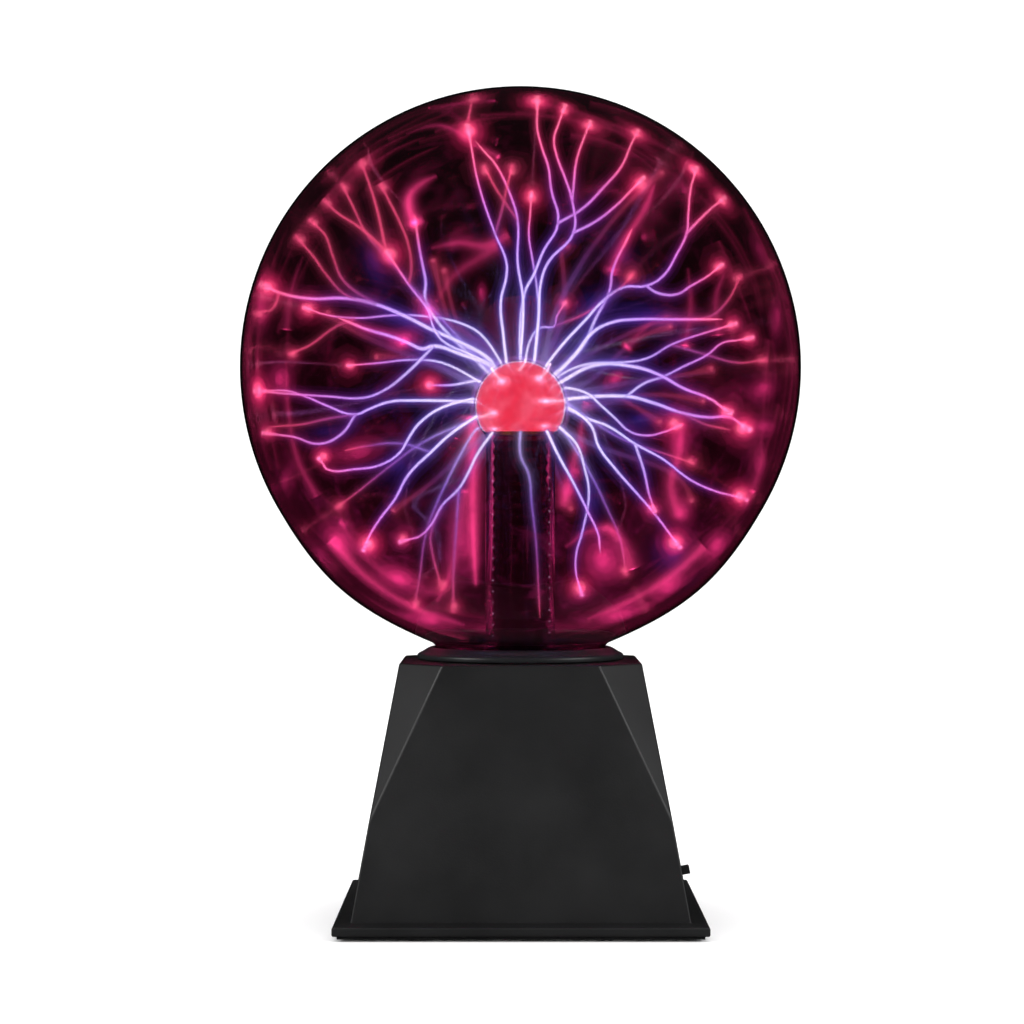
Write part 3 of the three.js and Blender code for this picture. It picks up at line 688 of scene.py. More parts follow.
# The stem: the same glass, drawn to a tube, almost without tint.
STEM_GLASS = BlownGlass(
    "drawn stem glass", "#e6e2ea", "#e6e2ea", 0.0, grain_size=40, relief=0.02, ior=1.47
)
# Steel wool lit by the discharge: red fibres with coral tangles.
WOOL = HotWool(
    "steel wool in the discharge", "#f4022e", "#ff5068", 0.8, grain_size=1.1, relief=0.5, light=2.7
)
# The sleeve in the stem: extruded insulating tube, near black and glossy, so its ribs catch the light.
SLEEVE_PVC = Finish("corrugated insulating tube", "#0d0b10", "#131018", 0.22, 0.04, Grain.SPARKED, 0.8, 0.05)


# ------------------------------------------------------------------ globe, stem and electrode


def cubic(start: Point, first: Point, second: Point, end: Point, steps: int) -> list[Point]:
    """Points of a cubic curve.

    Args:
        start: where it starts.
        first: its first handle.
        second: its second handle.
        end: where it ends.
        steps: how many parts it is cut into.

    Returns:
        The points, both ends included.
    """
    points = []
    for step in range(steps + 1):
        t = step / steps
        weights = ((1 - t) ** 3, 3 * (1 - t) ** 2 * t, 3 * (1 - t) * t * t, t**3)
        ends = (start, first, second, end)
        points.append(tuple(sum(w * p[axis] for w, p in zip(weights, ends)) for axis in (0, 1)))
    return points


def shelled(outline: Sequence[Point], wall: float) -> list[Point]:
    """Adds the inner side of a wall to an outline that ends on the axis.

    Args:
        outline: radius and height of each outer point, from the open foot to the axis.
        wall: the wall's thickness, in millimetres.

    Returns:
        The outline of the wall: up the outside and back down the inside.
    """
    inside: list[Point] = []
    for index, (radius, height) in enumerate(outline):
        before = outline[max(index - 1, 0)]
        after = outline[min(index + 1, len(outline) - 1)]
        along = Vector((after[0] - before[0], after[1] - before[1])).normalized()
        inside.append((radius - wall * along.y, height + wall * along.x))
    inside[-1] = (0.0, outline[-1][1] - wall)
    return [*reversed(inside), *outline]


@dataclass
class Globe:
    """The blown globe: a round ball whose lower part fills out on its way to the neck."""

    radius: float = 99.95
    wall: float = 0.5
    neck_radius: float = 30.3
    neck_bottom: float = 78.0
    neck_top: float = 96.8
    blend_angle: float = 60.0
    segments: int = 128

    def outline(self) -> list[Point]:
        """Returns the outside from the foot of the neck to the top."""
        centre = GLOBE_CENTRE.z / MM
        angle = math.radians(self.blend_angle)
        start = (self.radius * math.sin(angle), centre - self.radius * math.cos(angle))
        foot = (self.neck_radius + 1.2, self.neck_top + 1.2)
        reach = 0.3 * self.radius
        points = [
            (self.neck_radius, self.neck_bottom),
            (self.neck_radius, self.neck_top - 4),
            (self.neck_radius, self.neck_top),
        ]
        points += cubic(
            foot,
            (foot[0] + 0.92 * reach, foot[1] + 0.39 * reach),
            (start[0] - 0.5 * reach, start[1] - 0.866 * reach),
            start,
            20,
        )
        steps = 56
        for step in range(1, steps):
            at = angle + (math.pi - angle) * step / steps
            points.append((self.radius * math.sin(at), centre - self.radius * math.cos(at)))
        points.append((0.0, centre + self.radius))
        return points

    def build(self) -> bpy.types.Object:
        """Returns the finished globe."""
        bm = turned(shelled(self.outline(), self.wall), self.segments)
        return add_piece("globe", bm, GLOBE_GLASS, ["glass_globe"], crease=80)


@dataclass
class Stem:
    """The glass stem with its blown bulb, the ribbed sleeve inside it and the hot wool."""

    wall: float = 0.9
    tube_radius: float = 12.5
    flare_radius: float = 28.2
    flare_foot: float = 79.2
    flare_height: float = 18.0
    sleeve_radius: float = 10.05
    rib_depth: float = 1.1
    rib_pitch: float = 3.94
    sleeve_bore: float = 3.0
    wool_radius: float = 15.8
    wool_flat: float = 9.3
    contact_radius: float = 1.8
    contact_top: float = 186.5

    def outline(self) -> list[Point]:
        """Returns the outside of the stem from the flare's foot to the top of the bulb."""
        points = []
        for step in range(13):
            share = math.sin(math.pi / 2 * step / 12)
            radius = self.flare_radius - (self.flare_radius - self.tube_radius) * share
            height = self.flare_foot + self.flare_height * (1 - math.sqrt(max(0.0, 1 - share * share)))
            points.append((radius, height))
        bulb, centre = BULB_RADIUS / MM, BULB_CENTRE.z / MM
        start = math.pi - math.asin(self.tube_radius / bulb)
        for step in range(28):
            angle = start * (1 - step / 28)
            points.append((bulb * math.sin(angle), centre + bulb * math.cos(angle)))
        points.append((0.0, centre + bulb))
        return points

    def build_tube(self) -> bpy.types.Object:
        """Returns the glass stem."""
        bm = turned(shelled(self.outline(), self.wall), 72)
        for vert in bm.verts:
            out = vert.co - BULB_CENTRE
            if out.length < BULB_RADIUS - 0.5 * MM and out.z > -10.5 * MM:
                vert.co = BULB_CENTRE + out.normalized() * (BULB_RADIUS - 0.3 * MM)
        return add_piece("glass_stem", bm, STEM_GLASS, ["stem_tube"], crease=80)

    def build_sleeve(self) -> bpy.types.Object:
        """Returns the sleeve, with round ribs."""
        low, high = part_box("ribbed_sleeve")
        bottom, top = low.z / MM, high.z / MM
        ribs = round((top - bottom) / self.rib_pitch)
        pitch = (top - bottom) / ribs
        points = [(self.sleeve_bore, top), (self.sleeve_bore, bottom)]
        for rib in range(ribs):
            for step in range(6):
                share = step / 6
                lift = math.sin(math.pi * share) ** 2
                radius = self.sleeve_radius - self.rib_depth * (1 - lift)
                points.append((radius, bottom + (rib + share) * pitch))
        points.append((self.sleeve_radius - self.rib_depth, top))
        bm = turned(points, 48)
        return add_piece("stem_sleeve", bm, SLEEVE_PVC, ["ribbed_sleeve"])

    def build_wool(self) -> bpy.types.Object:
        """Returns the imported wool: a ball with a flat underside and a fibrous skin."""
        centre = BULB_CENTRE.z / MM
        start = math.acos(-self.wool_flat / self.wool_radius)
        points = [
            (0.0, self.contact_top),
            (self.contact_radius, self.contact_top),
            (self.contact_radius, centre - self.wool_flat),
            (6.0, centre - self.wool_flat),
            (9.5, centre - self.wool_flat),
        ]
        for step in range(30):
            angle = start * (1 - step / 30)
            points.append((self.wool_radius * math.sin(angle), centre + self.wool_radius * math.cos(angle)))
        points.append((0.0, centre + self.wool_radius))
        bm = turned(points, 72)
        chance = random.Random(11)
        for vert in bm.verts:
            out = vert.co - BULB_CENTRE
            if out.length > 0.9 * self.wool_radius * MM:
                vert.co -= out.normalized() * chance.uniform(0.0, 0.22) * MM
        return add_piece("electrode_wool_ball", bm, WOOL, ["electrode_wool"])

    def build(self) -> list[bpy.types.Object]:
        """Returns the stem's pieces."""
        return [self.build_tube(), self.build_sleeve(), self.build_wool()]


# ------------------------------------------------------------------ discharge


class Side(Enum):
    """Which half of the globe a thread runs through."""

    FRONT = -1
    BACK = 1


class Tip(Enum):
    """How a thread ends on the glass."""

    BULB = "round glow"
    BRIGHT = "large bright glow"
    CAP = "flat glow spread on the glass"
    NONE = "fades out"


class Level(Enum):
    """How bright a thread is."""

    BRIGHT = 0
    MEDIUM = 1
    FAINT = 2


@dataclass(frozen=True)
class Thread:
    """One thread of the discharge, seen from the front.

    The path starts at the tip. Its points are across and up from the globe's centre, in
    millimetres, where they appear in the plane of the axis.
    """

    name: str
    path: tuple[Point, ...]
    side: Side = Side.FRONT
    level: Level = Level.MEDIUM
    tip: Tip = Tip.BULB
    joins: str = ""
    width: float = 1.0


@dataclass(frozen=True)
class Cloud:
    """A soft glow hanging in the gas: a stack of ever larger, thinner shapes."""

    place: Point
    size: tuple[float, float]  # half width and half height, in millimetres
    side: Side = Side.BACK
    tilt: float = 0.0  # degrees, anticlockwise from upright
    level: Level = Level.MEDIUM


FRONT, BACK = Side.FRONT, Side.BACK
HIGH, MID, LOW = Level.BRIGHT, Level.MEDIUM, Level.FAINT
BULB, BRIGHT, CAP, NONE = Tip.BULB, Tip.BRIGHT, Tip.CAP, Tip.NONE

THREADS: tuple[Thread, ...] = (
    # upper left
    Thread(
        "a",
        ((-19, 87), (-15, 66), (-9, 48), (-5, 38), (-5, 33), (-7, 24), (-6, 11), (-5, 2)),
        FRONT, HIGH, BRIGHT,
    ),
    Thread("b", ((-16, 81), (-9, 73), (-4, 63), (-1, 53), (-1, 38), (1, 24), (0, 4)), FRONT, HIGH, NONE),
    Thread("b2", ((-13, 72), (-8, 63), (-3, 56)), FRONT, LOW, BULB, "b"),
    Thread("b3", ((-3, 72), (-5, 64), (-6, 59), (-9, 51)), FRONT, LOW, BULB, "a"),
    Thread(
        "q",
        ((-48, 42), (-44, 36), (-40, 30), (-33, 20.5), (-31, 14.5), (-28, 10), (-18, 5), (-10, 1)),
        FRONT, MID, BRIGHT,
    ),
    Thread("q2", ((-57, 74), (-54, 66), (-51, 56), (-48, 45)), FRONT, LOW, CAP, "q"),
    Thread("q3", ((-50, 66), (-47, 60), (-43, 52), (-40, 44), (-39, 35), (-38, 28)), FRONT, LOW, BULB, "q"),
    Thread("q4", ((-38, 55), (-36, 42), (-34, 32), (-32, 20)), BACK, MID, NONE, "", 1.3),
    Thread("q5", ((-70, 60), (-66, 56), (-57, 50), (-50, 43)), FRONT, LOW, BULB, "q"),
    Thread(
        "l",
        ((-93, 30), (-86, 27), (-76, 25), (-62, 25), (-52, 23), (-42, 19), (-32, 14), (-21, 9), (-11, 3)),
        FRONT, HIGH, BRIGHT, "", 1.5,
    ),
    Thread("l2", ((-75, 53), (-70, 48), (-67, 40), (-63, 31), (-55, 25)), FRONT, LOW, BULB, "l"),
    Thread("l3", ((-80, 47), (-74, 40), (-69, 33), (-62, 26), (-55, 24)), FRONT, LOW, BULB, "l"),
    Thread("l4", ((-95, 19.5), (-89, 21), (-83, 24)), FRONT, LOW, BULB, "l"),
    Thread(
        "m",
        ((-78, 22), (-71, 19.5), (-59, 18), (-45, 19), (-33, 18.5), (-21, 16), (-14, 12), (-7, 2)),
        BACK, MID, BRIGHT,
    ),
    Thread("n", ((-83, 5), (-76, 8), (-66, 15), (-59, 18)), BACK, LOW, BULB, "m"),
    Thread(
        "p",
        ((-65, 18), (-55, 14), (-45, 11), (-40, 9), (-35, 7), (-31, 8), (-21, 5), (-11, 1)),
        FRONT, HIGH, NONE, "", 1.5,
    ),
    Thread(
        "r",
        ((-95, -8), (-84, -9), (-69, -10), (-56, -10.5), (-49, -8), (-41, -2), (-31, 5)),
        FRONT, MID, CAP, "p",
    ),
    # lower left
    Thread(
        "s1",
        (
            (-95, -8), (-84, -8), (-77, -10), (-70, -13), (-59, -16.5), (-54, -14.5), (-47, -12),
            (-39, -11.5), (-17, -12),
        ),
        FRONT, HIGH, CAP,
    ),
    Thread(
        "s1b",
        ((-92, -23), (-81, -24.5), (-72, -27), (-64, -23.5), (-59, -16.5)),
        FRONT, MID, BULB, "s1",
    ),
    Thread("s1c", ((-90, -21), (-78, -20), (-69, -18), (-60, -17)), FRONT, LOW, NONE, "s1"),
    Thread("s2", ((-33, -6), (-25, -6), (-15, -4.5)), BACK, MID, BRIGHT, "", 1.2),
    Thread(
        "s3",
        (
            (-72, -32), (-69, -36), (-59, -36), (-50, -34.5), (-43, -30), (-40, -25), (-36, -19.5),
            (-28, -14), (-17, -11),
        ),
        FRONT, HIGH, BULB,
    ),
    Thread(
        "s4",
        (
            (-56, -65), (-54, -60), (-50, -53.5), (-45, -47), (-40, -38), (-32, -30), (-25, -23.5),
            (-15.5, -17),
        ),
        FRONT, HIGH, BRIGHT,
    ),
    Thread("s5", ((-63, -29.5), (-56, -28), (-42, -27), (-32, -28)), BACK, LOW, NONE, "s4"),
    Thread(
        "s6",
        ((-43, -62), (-36, -60), (-32, -56), (-28, -49), (-22, -43), (-19, -38), (-15, -30), (-10, -23)),
        FRONT, MID, BULB,
    ),
    Thread("s6b", ((-28, -79), (-31, -68), (-32, -59), (-30, -52)), FRONT, LOW, BULB, "s6"),
    Thread("s7", ((-24, -87), (-24, -75), (-23, -58), (-21, -45)), FRONT, LOW, BULB, "s6"),
    # upper right
    Thread(
        "c1",
        ((6, 97), (6, 86), (8, 78), (10, 72), (11, 64), (13.5, 52), (8, 41.5), (5, 34), (1.5, 27), (0, 4)),
        FRONT, HIGH, CAP,
    ),
    Thread(
        "c2",
        (
            (16, 94), (13.5, 87), (12, 82), (13, 76), (16, 68), (18.5, 60), (19, 48.5), (10, 38),
            (7.5, 31.5), (6.5, 18), (5, 2.5),
        ),
        FRONT, HIGH, BULB,
    ),
    Thread("c3", ((25, 88), (23, 83), (20, 74), (19, 65), (19.5, 58)), FRONT, MID, CAP, "c2"),
    Thread("c4", ((42, 85), (40, 81), (36, 72), (30, 65), (22, 57), (14, 50)), FRONT, MID, CAP, "c1"),
    Thread("c5", ((44, 68), (40, 64), (34, 58), (26, 52), (19, 48.5)), FRONT, MID, BRIGHT, "c2"),
    Thread("f", ((40, 50), (33, 35), (32, 28), (27, 18), (22, 7.5), (14.5, 0)), BACK, MID, NONE, "", 1.4),
    Thread(
        "g",
        (
            (63, 72), (61, 65), (60, 55), (59.5, 48.5), (56, 41), (51, 33), (45, 29.5), (37, 29),
            (30, 24.5), (23, 17), (15.5, 9), (10, 2),
        ),
        FRONT, HIGH, CAP,
    ),
    Thread("g2", ((73, 61), (68, 57), (60, 49)), FRONT, MID, CAP, "g"),
    Thread("g3", ((72, 37), (67, 33), (61, 29.5), (56, 26.5), (49, 27), (44, 29)), FRONT, MID, BULB, "g"),
    Thread("g4", ((40, 33.5), (37, 30), (31, 25)), FRONT, LOW, BULB, "g"),
    Thread("k1", ((4, 63), (3.5, 55), (3, 48), (4.5, 38), (6, 28), (6.5, 18), (5, 3)), BACK, MID, BRIGHT),
    Thread("k2", ((16, 23.5), (13, 18.5), (12, 15), (7, 14.5), (3.5, 10), (2, 4)), BACK, MID, BULB),
    Thread("k3", ((31, 25), (24, 20), (14, 15)), BACK, LOW, NONE, "k2"),
    Thread(
        "w",
        ((72, 17.5), (54, 17.5), (41, 17.5), (33, 16.5), (26, 13), (20, 5.5), (14, -1)),
        FRONT, HIGH, NONE, "", 1.3,
    ),
    Thread(
        "w2",
        ((77, 16), (67, 13), (54, 8.5), (45, 3.5), (34, 2), (24, 1.5), (15, -2)),
        FRONT, MID, BULB,
    ),
    Thread("w3", ((79, 33), (74, 24), (66, 18), (58, 17.5)), BACK, LOW, BULB, "w"),
    Thread(
        "o",
        ((83, 11), (72, 9), (67, 5), (58, 0.5), (51, -3), (44, -5.5), (39, -9.5)),
        FRONT, MID, BULB, "r2",
    ),
    # lower right
    Thread(
        "r1",
        ((75, -16), (68, -11), (58, -7), (50, -2.5), (41, 0.5), (26, 1), (16, -4)),
        FRONT, HIGH, BULB, "", 1.4,
    ),
    Thread(
        "r2",
        ((82, -22), (75, -17.5), (67, -17.5), (58, -16), (48, -12.5), (38, -10), (17, -11)),
        FRONT, HIGH, BRIGHT, "", 1.3,
    ),
    Thread("r2b", ((75, -22), (66, -20), (58, -16)), FRONT, LOW, NONE, "r2"),
    Thread(
        "r3",
        (
            (81, -47), (78, -46), (70, -44), (61, -40), (51, -32.5), (41, -27), (31, -20.5), (24, -18),
            (17, -14.5),
        ),
        FRONT, HIGH, BRIGHT,
    ),
    Thread("r3b", ((48, -51), (46, -45), (44, -36), (42, -28)), FRONT, MID, BULB, "r3"),
    Thread(
        "r4",
        ((57, -20.5), (52, -22.5), (45, -24), (39, -22.5), (34, -18), (28, -12.5), (24, -9), (16, -7)),
        FRONT, MID, BRIGHT,
    ),
    Thread(
        "r5",
        ((57, -64), (54, -60), (48, -52), (41, -44), (34, -36), (28, -28), (25, -20), (17, -14)),
        FRONT, HIGH, BRIGHT,
    ),
    Thread(
        "r6",
        ((28.5, -66), (28, -60), (24, -51), (19, -41), (13.5, -31), (9.5, -22.5)),
        FRONT, HIGH, NONE,
    ),
    Thread(
        "r7",
        ((22, -81), (20, -74), (20, -66), (22, -59), (24.5, -44), (23, -36), (20, -27), (14, -21)),
        FRONT, MID, BRIGHT,
    ),
    Thread("r8", ((7, -89), (5.5, -61), (4, -48), (3, -38), (0, -31), (0, -23)), FRONT, LOW, NONE),
    # side branches that fill the gaps
    Thread("t1", ((-17, 98), (-18, 92), (-18, 86)), FRONT, LOW, CAP, "a"),
    Thread("t2", ((-64, 66), (-60, 58), (-55, 48), (-50, 42)), BACK, LOW, BULB),
    Thread("t3", ((-62, 1), (-50, 2), (-40, 3), (-28, 2), (-16, -4)), BACK, MID, BULB),
    Thread("t4", ((-66, -50), (-58, -44), (-48, -36), (-34, -26), (-16, -18)), BACK, LOW, BULB),
    Thread("t5", ((62, -34), (50, -30), (38, -26), (26, -19), (16, -12)), BACK, LOW, BULB),
    Thread("t6", ((38, -74), (36, -62), (31, -50), (24, -36), (15, -22)), BACK, LOW, BULB),
    Thread("t7", ((88, 3), (78, 2), (66, 5), (54, 8)), BACK, LOW, BULB, "w2"),
    Thread("t8", ((-38, -86), (-36, -74), (-34, -60), (-28, -44), (-16, -22)), BACK, LOW, BULB),
)

RIBBONS: tuple[Thread, ...] = (
    Thread("h", ((-30, 69), (-35, 66.5), (-39, 63), (-40, 58), (-38, 52)), BACK, HIGH, NONE, "", 1.0),
    Thread("ff", ((48, 66), (45, 58), (40, 50), (36, 43), (33, 35)), BACK, MID, NONE, "", 1.0),
    Thread("band", ((-32, 43), (-22, 45), (-12, 44), (-4, 48)), BACK, MID, NONE, "", 1.1),
    Thread("band2", ((-30, 24), (-24, 33), (-14, 40), (-8, 44)), BACK, LOW, NONE, "", 1.2),
    Thread("pl", ((-62, 17), (-55, 14), (-47, 12), (-42, 9.5)), BACK, MID, NONE, "", 0.9),
    Thread("stemside", ((-16, -78), (-17, -55), (-17, -35), (-17, -18)), BACK, HIGH, NONE, "", 1.4),
    Thread("low", ((-30, -84), (-24, -70), (-22, -56), (-20, -44)), BACK, LOW, NONE, "", 1.1),
    Thread("right1", ((60, 36), (61, 22), (59, 8)), BACK, LOW, NONE, "", 0.9),
    Thread("right2", ((73, 34), (70, 24), (71, 12)), BACK, LOW, NONE, "", 0.9),
    Thread("right3", ((86, -24), (86, -34), (83, -44)), FRONT, LOW, NONE, "", 0.8),
    Thread("right4", ((58, -20), (57, -30), (54, -42), (57, -54)), BACK, MID, NONE, "", 1.2),
    Thread("diag", ((50, 19), (44, 14), (38, 8)), BACK, LOW, NONE, "", 0.8),
    Thread("column", ((23, -12), (21, -26), (18, -38), (15, -50)), BACK, MID, NONE, "", 1.1),
    Thread("crown", ((-41, 84), (-32, 87), (-25, 86), (-16, 80), (-8, 76)), BACK, MID, NONE, "", 0.6),
    Thread("foot1", ((24, -90), (38, -84), (52, -76), (66, -64)), BACK, HIGH, NONE, "", 1.0),
    Thread("foot2", ((-20, -92), (-38, -86), (-54, -76), (-68, -62)), BACK, HIGH, NONE, "", 1.0),
    Thread("foot3", ((16, -64), (26, -58), (36, -62), (40, -72)), BACK, MID, NONE, "", 1.1),
    Thread("left1", ((-84, 2), (-83, -16), (-80, -32), (-73, -46)), BACK, MID, NONE, "", 0.7),
    Thread("left2", ((-78, 40), (-82, 28), (-84, 14)), BACK, LOW, NONE, "", 0.7),
)

CLOUDS: tuple[Cloud, ...] = (
    Cloud((34, -4), (5.5, 3.5), BACK, 35, HIGH),
    Cloud((24, -13), (3.4, 2.6), BACK, 0, HIGH),
    Cloud((22, -27), (2.6, 6.0), BACK, 0, MID),
    Cloud((20, -37), (3.6, 4.0), BACK, -20, MID),
    Cloud((17, -44), (4.6, 5.0), BACK, 0, MID),
    Cloud((57, -26), (5.0, 9.0), BACK, -10, MID),
    Cloud((58, -51), (4.5, 6.0), BACK, 0, MID),
    Cloud((86, -7.5), (6.0, 4.5), FRONT, 30, MID),
    Cloud((87, -21), (6.0, 4.0), FRONT, 0, MID),
    Cloud((85, -34), (4.0, 9.0), FRONT, 0, LOW),
    Cloud((70, -64), (5.0, 7.0), FRONT, -35, HIGH),
    Cloud((-66, -62), (6.0, 8.0), BACK, 35, HIGH),
    Cloud((-43, -75), (9.0, 5.0), BACK, -20, HIGH),
    Cloud((-34, -90), (12.0, 4.0), BACK, -8, HIGH),
    Cloud((36, -88), (13.0, 4.5), BACK, 12, HIGH),
    Cloud((54, -78), (9.0, 5.0), BACK, 32, HIGH),
    Cloud((0, -93), (26.0, 3.0), BACK, 0, MID),
    Cloud((-42, 10), (6.0, 4.0), FRONT, 20, HIGH),
    Cloud((-33, 20.5), (4.5, 5.0), FRONT, 0, HIGH),
    Cloud((-14, 27), (2.2, 4.5), BACK, 0, HIGH),
    Cloud((-93, 22), (4.0, 9.0), BACK, 0, MID),
    Cloud((-86, -4), (5.0, 7.0), BACK, 0, MID),
    Cloud((-84, -40), (4.0, 10.0), BACK, -20, LOW),
    Cloud((92, 18), (3.0, 9.0), BACK, 0, MID),
    Cloud((86, 42), (3.0, 8.0), BACK, 25, LOW),
    Cloud((30, -68), (8.0, 9.0), BACK, 20, MID),
    Cloud((-20, -62), (6.0, 14.0), BACK, 0, LOW),
    Cloud((-58, -30), (12.0, 6.0), BACK, 15, LOW),
)

VIOLET_CLOUDS: tuple[Cloud, ...] = (
    Cloud((47, 18), (17.0, 5.5), BACK, -8, HIGH),
    Cloud((-52, 38), (6.0, 12.0), BACK, 20, MID),
    Cloud((-24, -14), (10.0, 6.0), BACK, 25, MID),
    Cloud((44, -18), (11.0, 5.0), BACK, 12, HIGH),
    Cloud((26, 22), (9.0, 6.0), BACK, 30, HIGH),
    Cloud((-40, 16), (13.0, 4.5), BACK, -20, HIGH),
    Cloud((-68, -22), (12.0, 4.0), BACK, 5, MID),
    Cloud((54, -66), (8.0, 10.0), BACK, 0, MID),
    Cloud((-14, 10), (7.0, 9.0), BACK, 30, MID),
    Cloud((12, 8), (8.0, 8.0), BACK, -30, MID),
    Cloud((27, -48), (4.0, 14.0), BACK, 0, MID),
    Cloud((-44, -34), (9.0, 7.0), BACK, 30, MID),
    Cloud((36, 42), (6.0, 10.0), BACK, 30, LOW),
)



@dataclass
class Layer:
    """One coat of light round every thread: how wide it is, and how dense at each level."""

    name: str
    widen: float
    densities: tuple[float, float, float]
    light: float
    stops: tuple[tuple[float, str], ...]

    def finishes(self) -> list[GlowingGas]:
        """Returns a glow for each level."""
        words = ("bright", "medium", "faint")
        stops = (self.stops, self.stops, Discharge.faint_stops)
        return [
            GlowingGas(f"{self.name} glow, {word}", colours, density, self.light)
            for word, density, colours in zip(words, self.densities, stops)
        ]


@dataclass
class Discharge:
    """The threads of light from the electrode to the glass, the glow in the gas round them, and painted
    glints and reflections.
    """

    reach: float = 98.4  # where a thread meets the inside of the glass, from the globe's centre
    root_reach: float = 16.7
    base_radius: float = 1.0
    seed: int = 5
    far_count: int = 16
    gas_floor: float = 98.8  # the gas glows no lower than this
    routes: dict[str, list[Vector]] = field(default_factory=dict)
    core_stops: tuple[tuple[float, str], ...] = (
        (16.0, "#f4ecff"),
        (40.0, "#d8ceff"),
        (60.0, "#c49af8"),
        (78.0, "#d47ce0"),
        (94.0, "#fb6fa6"),
        (112.0, "#ff7a9c"),
    )
    sheath_stops: tuple[tuple[float, str], ...] = (
        (16.0, "#a894ff"),
        (38.0, "#8068ec"),
        (58.0, "#7c48d0"),
        (76.0, "#a43cae"),
        (94.0, "#e83c7c"),
        (112.0, "#ff4878"),
    )
    faint_stops: tuple[tuple[float, str], ...] = (
        (16.0, "#c4b8ff"),
        (42.0, "#8a62cc"),
        (66.0, "#93408e"),
        (86.0, "#d0446e"),
        (98.0, "#f0507c"),
        (112.0, "#f0507c"),
    )
    pink_stops: tuple[tuple[float, str], ...] = ((10.0, "#c8489a"), (45.0, "#cc3c80"), (110.0, "#ea4274"))
    rose_stops: tuple[tuple[float, str], ...] = ((10.0, "#ff9ac0"), (60.0, "#ff7a98"), (110.0, "#ff8a9e"))
    violet_stops: tuple[tuple[float, str], ...] = ((10.0, "#4a40c0"), (60.0, "#3a2c9a"), (110.0, "#34186a"))

    def set_back(self, across: float, up: float, depth: float) -> Vector:
        """Places a point where it appears from the front, at a depth.

        Args:
            across: where it appears across the plane of the axis, in metres.
            up: where it appears up that plane, in metres from the globe's centre.
            depth: its depth behind that plane, in metres.

        Returns:
            The point.
        """
        flat = Vector((across, 0, GLOBE_CENTRE.z + up))
        return VIEWPOINT + (flat - VIEWPOINT) * ((depth - VIEWPOINT.y) / -VIEWPOINT.y)

    def on_glass(self, point: Point, side: Side, reach: float) -> Vector:
        """Moves a point along the line of sight to a sphere about the globe's centre.

        Args:
            point: across and up, in millimetres.
            side: which side of the globe it is on.
            reach: the sphere's radius, in millimetres.

        Returns:
            The place on the sphere, or the nearest to it on the line.
        """
        flat = Vector((point[0] * MM, 0, GLOBE_CENTRE.z + point[1] * MM))
        line = (flat - VIEWPOINT).normalized()
        across = VIEWPOINT - GLOBE_CENTRE
        middle = -across.dot(line)
        left = (reach * MM) ** 2 - (across.length_squared - middle * middle)
        at = VIEWPOINT + line * (middle + side.value * math.sqrt(max(left, 0.0)))
        out = at - GLOBE_CENTRE
        if out.length > reach * MM:
            at = GLOBE_CENTRE + out.normalized() * reach * MM
        return at

    def root_depth(self, point: Point, side: Side) -> float:
        """Returns how far behind the axis a thread leaves the electrode's glass, in metres."""
        away = Vector((point[0], point[1] - (BULB_CENTRE.z - GLOBE_CENTRE.z) / MM)).length
        left = self.root_reach**2 - away**2
        return side.value * math.sqrt(left) * MM if left > 0 else 0.0

    def route(self, thread: Thread) -> list[Vector]:
        """Works out a thread's points.

        Args:
            thread: the thread.

        Returns:
            The points, from the tip to the end.
        """
        tip = self.on_glass(thread.path[0], thread.side, self.reach)
        if thread.joins:
            flat = Vector(thread.path[-1]) * MM
            parent = self.routes[thread.joins]
            end = min(parent, key=lambda at: (self.seen(at) - flat).length)
            points = [tip]
            end_depth = end.y
        else:
            end_depth = self.root_depth(thread.path[-1], thread.side)
            end = self.set_back(thread.path[-1][0] * MM, thread.path[-1][1] * MM, end_depth)
            points = [tip]
        lengths = [0.0]
        for before, after in zip(thread.path, thread.path[1:]):
            lengths.append(lengths[-1] + math.dist(before, after))
        for place, length in zip(thread.path[1:-1], lengths[1:-1]):
            share = (1 - length / lengths[-1]) ** 1.15
            depth = end_depth + (tip.y - end_depth) * share
            points.append(self.set_back(place[0] * MM, place[1] * MM, depth))
        points.append(end)
        if not thread.joins and (end - BULB_CENTRE).length > (self.root_reach + 0.2) * MM:
            points.append(BULB_CENTRE + (end - BULB_CENTRE).normalized() * self.root_reach * MM)
        return points

    def seen(self, at: Vector) -> Vector:
        """Returns where a point appears across and up the plane of the axis, in metres."""
        flat = VIEWPOINT + (at - VIEWPOINT) * (-VIEWPOINT.y / (at.y - VIEWPOINT.y))
        return Vector((flat.x, flat.z - GLOBE_CENTRE.z))

    def far_threads(self, count: int) -> list[list[Vector]]:
        """Makes thin threads through the depth of the globe, so that it is full from every side.

        Args:
            count: how many.

        Returns:
            Their points, from the tip to the root.
        """
        chance = random.Random(self.seed)
        found: list[list[Vector]] = []
        while len(found) < count:
            across, back = chance.uniform(-0.75, 0.75), chance.uniform(0.35, 1.0)
            way = Vector((across, back, chance.uniform(-0.75, 0.85))).normalized()
            tip = GLOBE_CENTRE + way * self.reach * MM
            if (tip - GLOBE_CENTRE).z < -0.07:
                continue
            root = BULB_CENTRE + (tip - BULB_CENTRE).normalized() * self.root_reach * MM
            bow = Vector([chance.uniform(-1, 1) for _ in range(3)]) * 7 * MM
            twist = Vector([chance.uniform(-1, 1) for _ in range(3)]) * 3 * MM
            points = []
            for step in range(8):
                share = step / 7
                arch, wave = math.sin(math.pi * share), math.sin(2 * math.pi * share)
                lift = Vector((0, 0, 4 * MM * arch))
                points.append(tip.lerp(root, share) + bow * arch + twist * wave + lift)
            found.append(points)
        return found

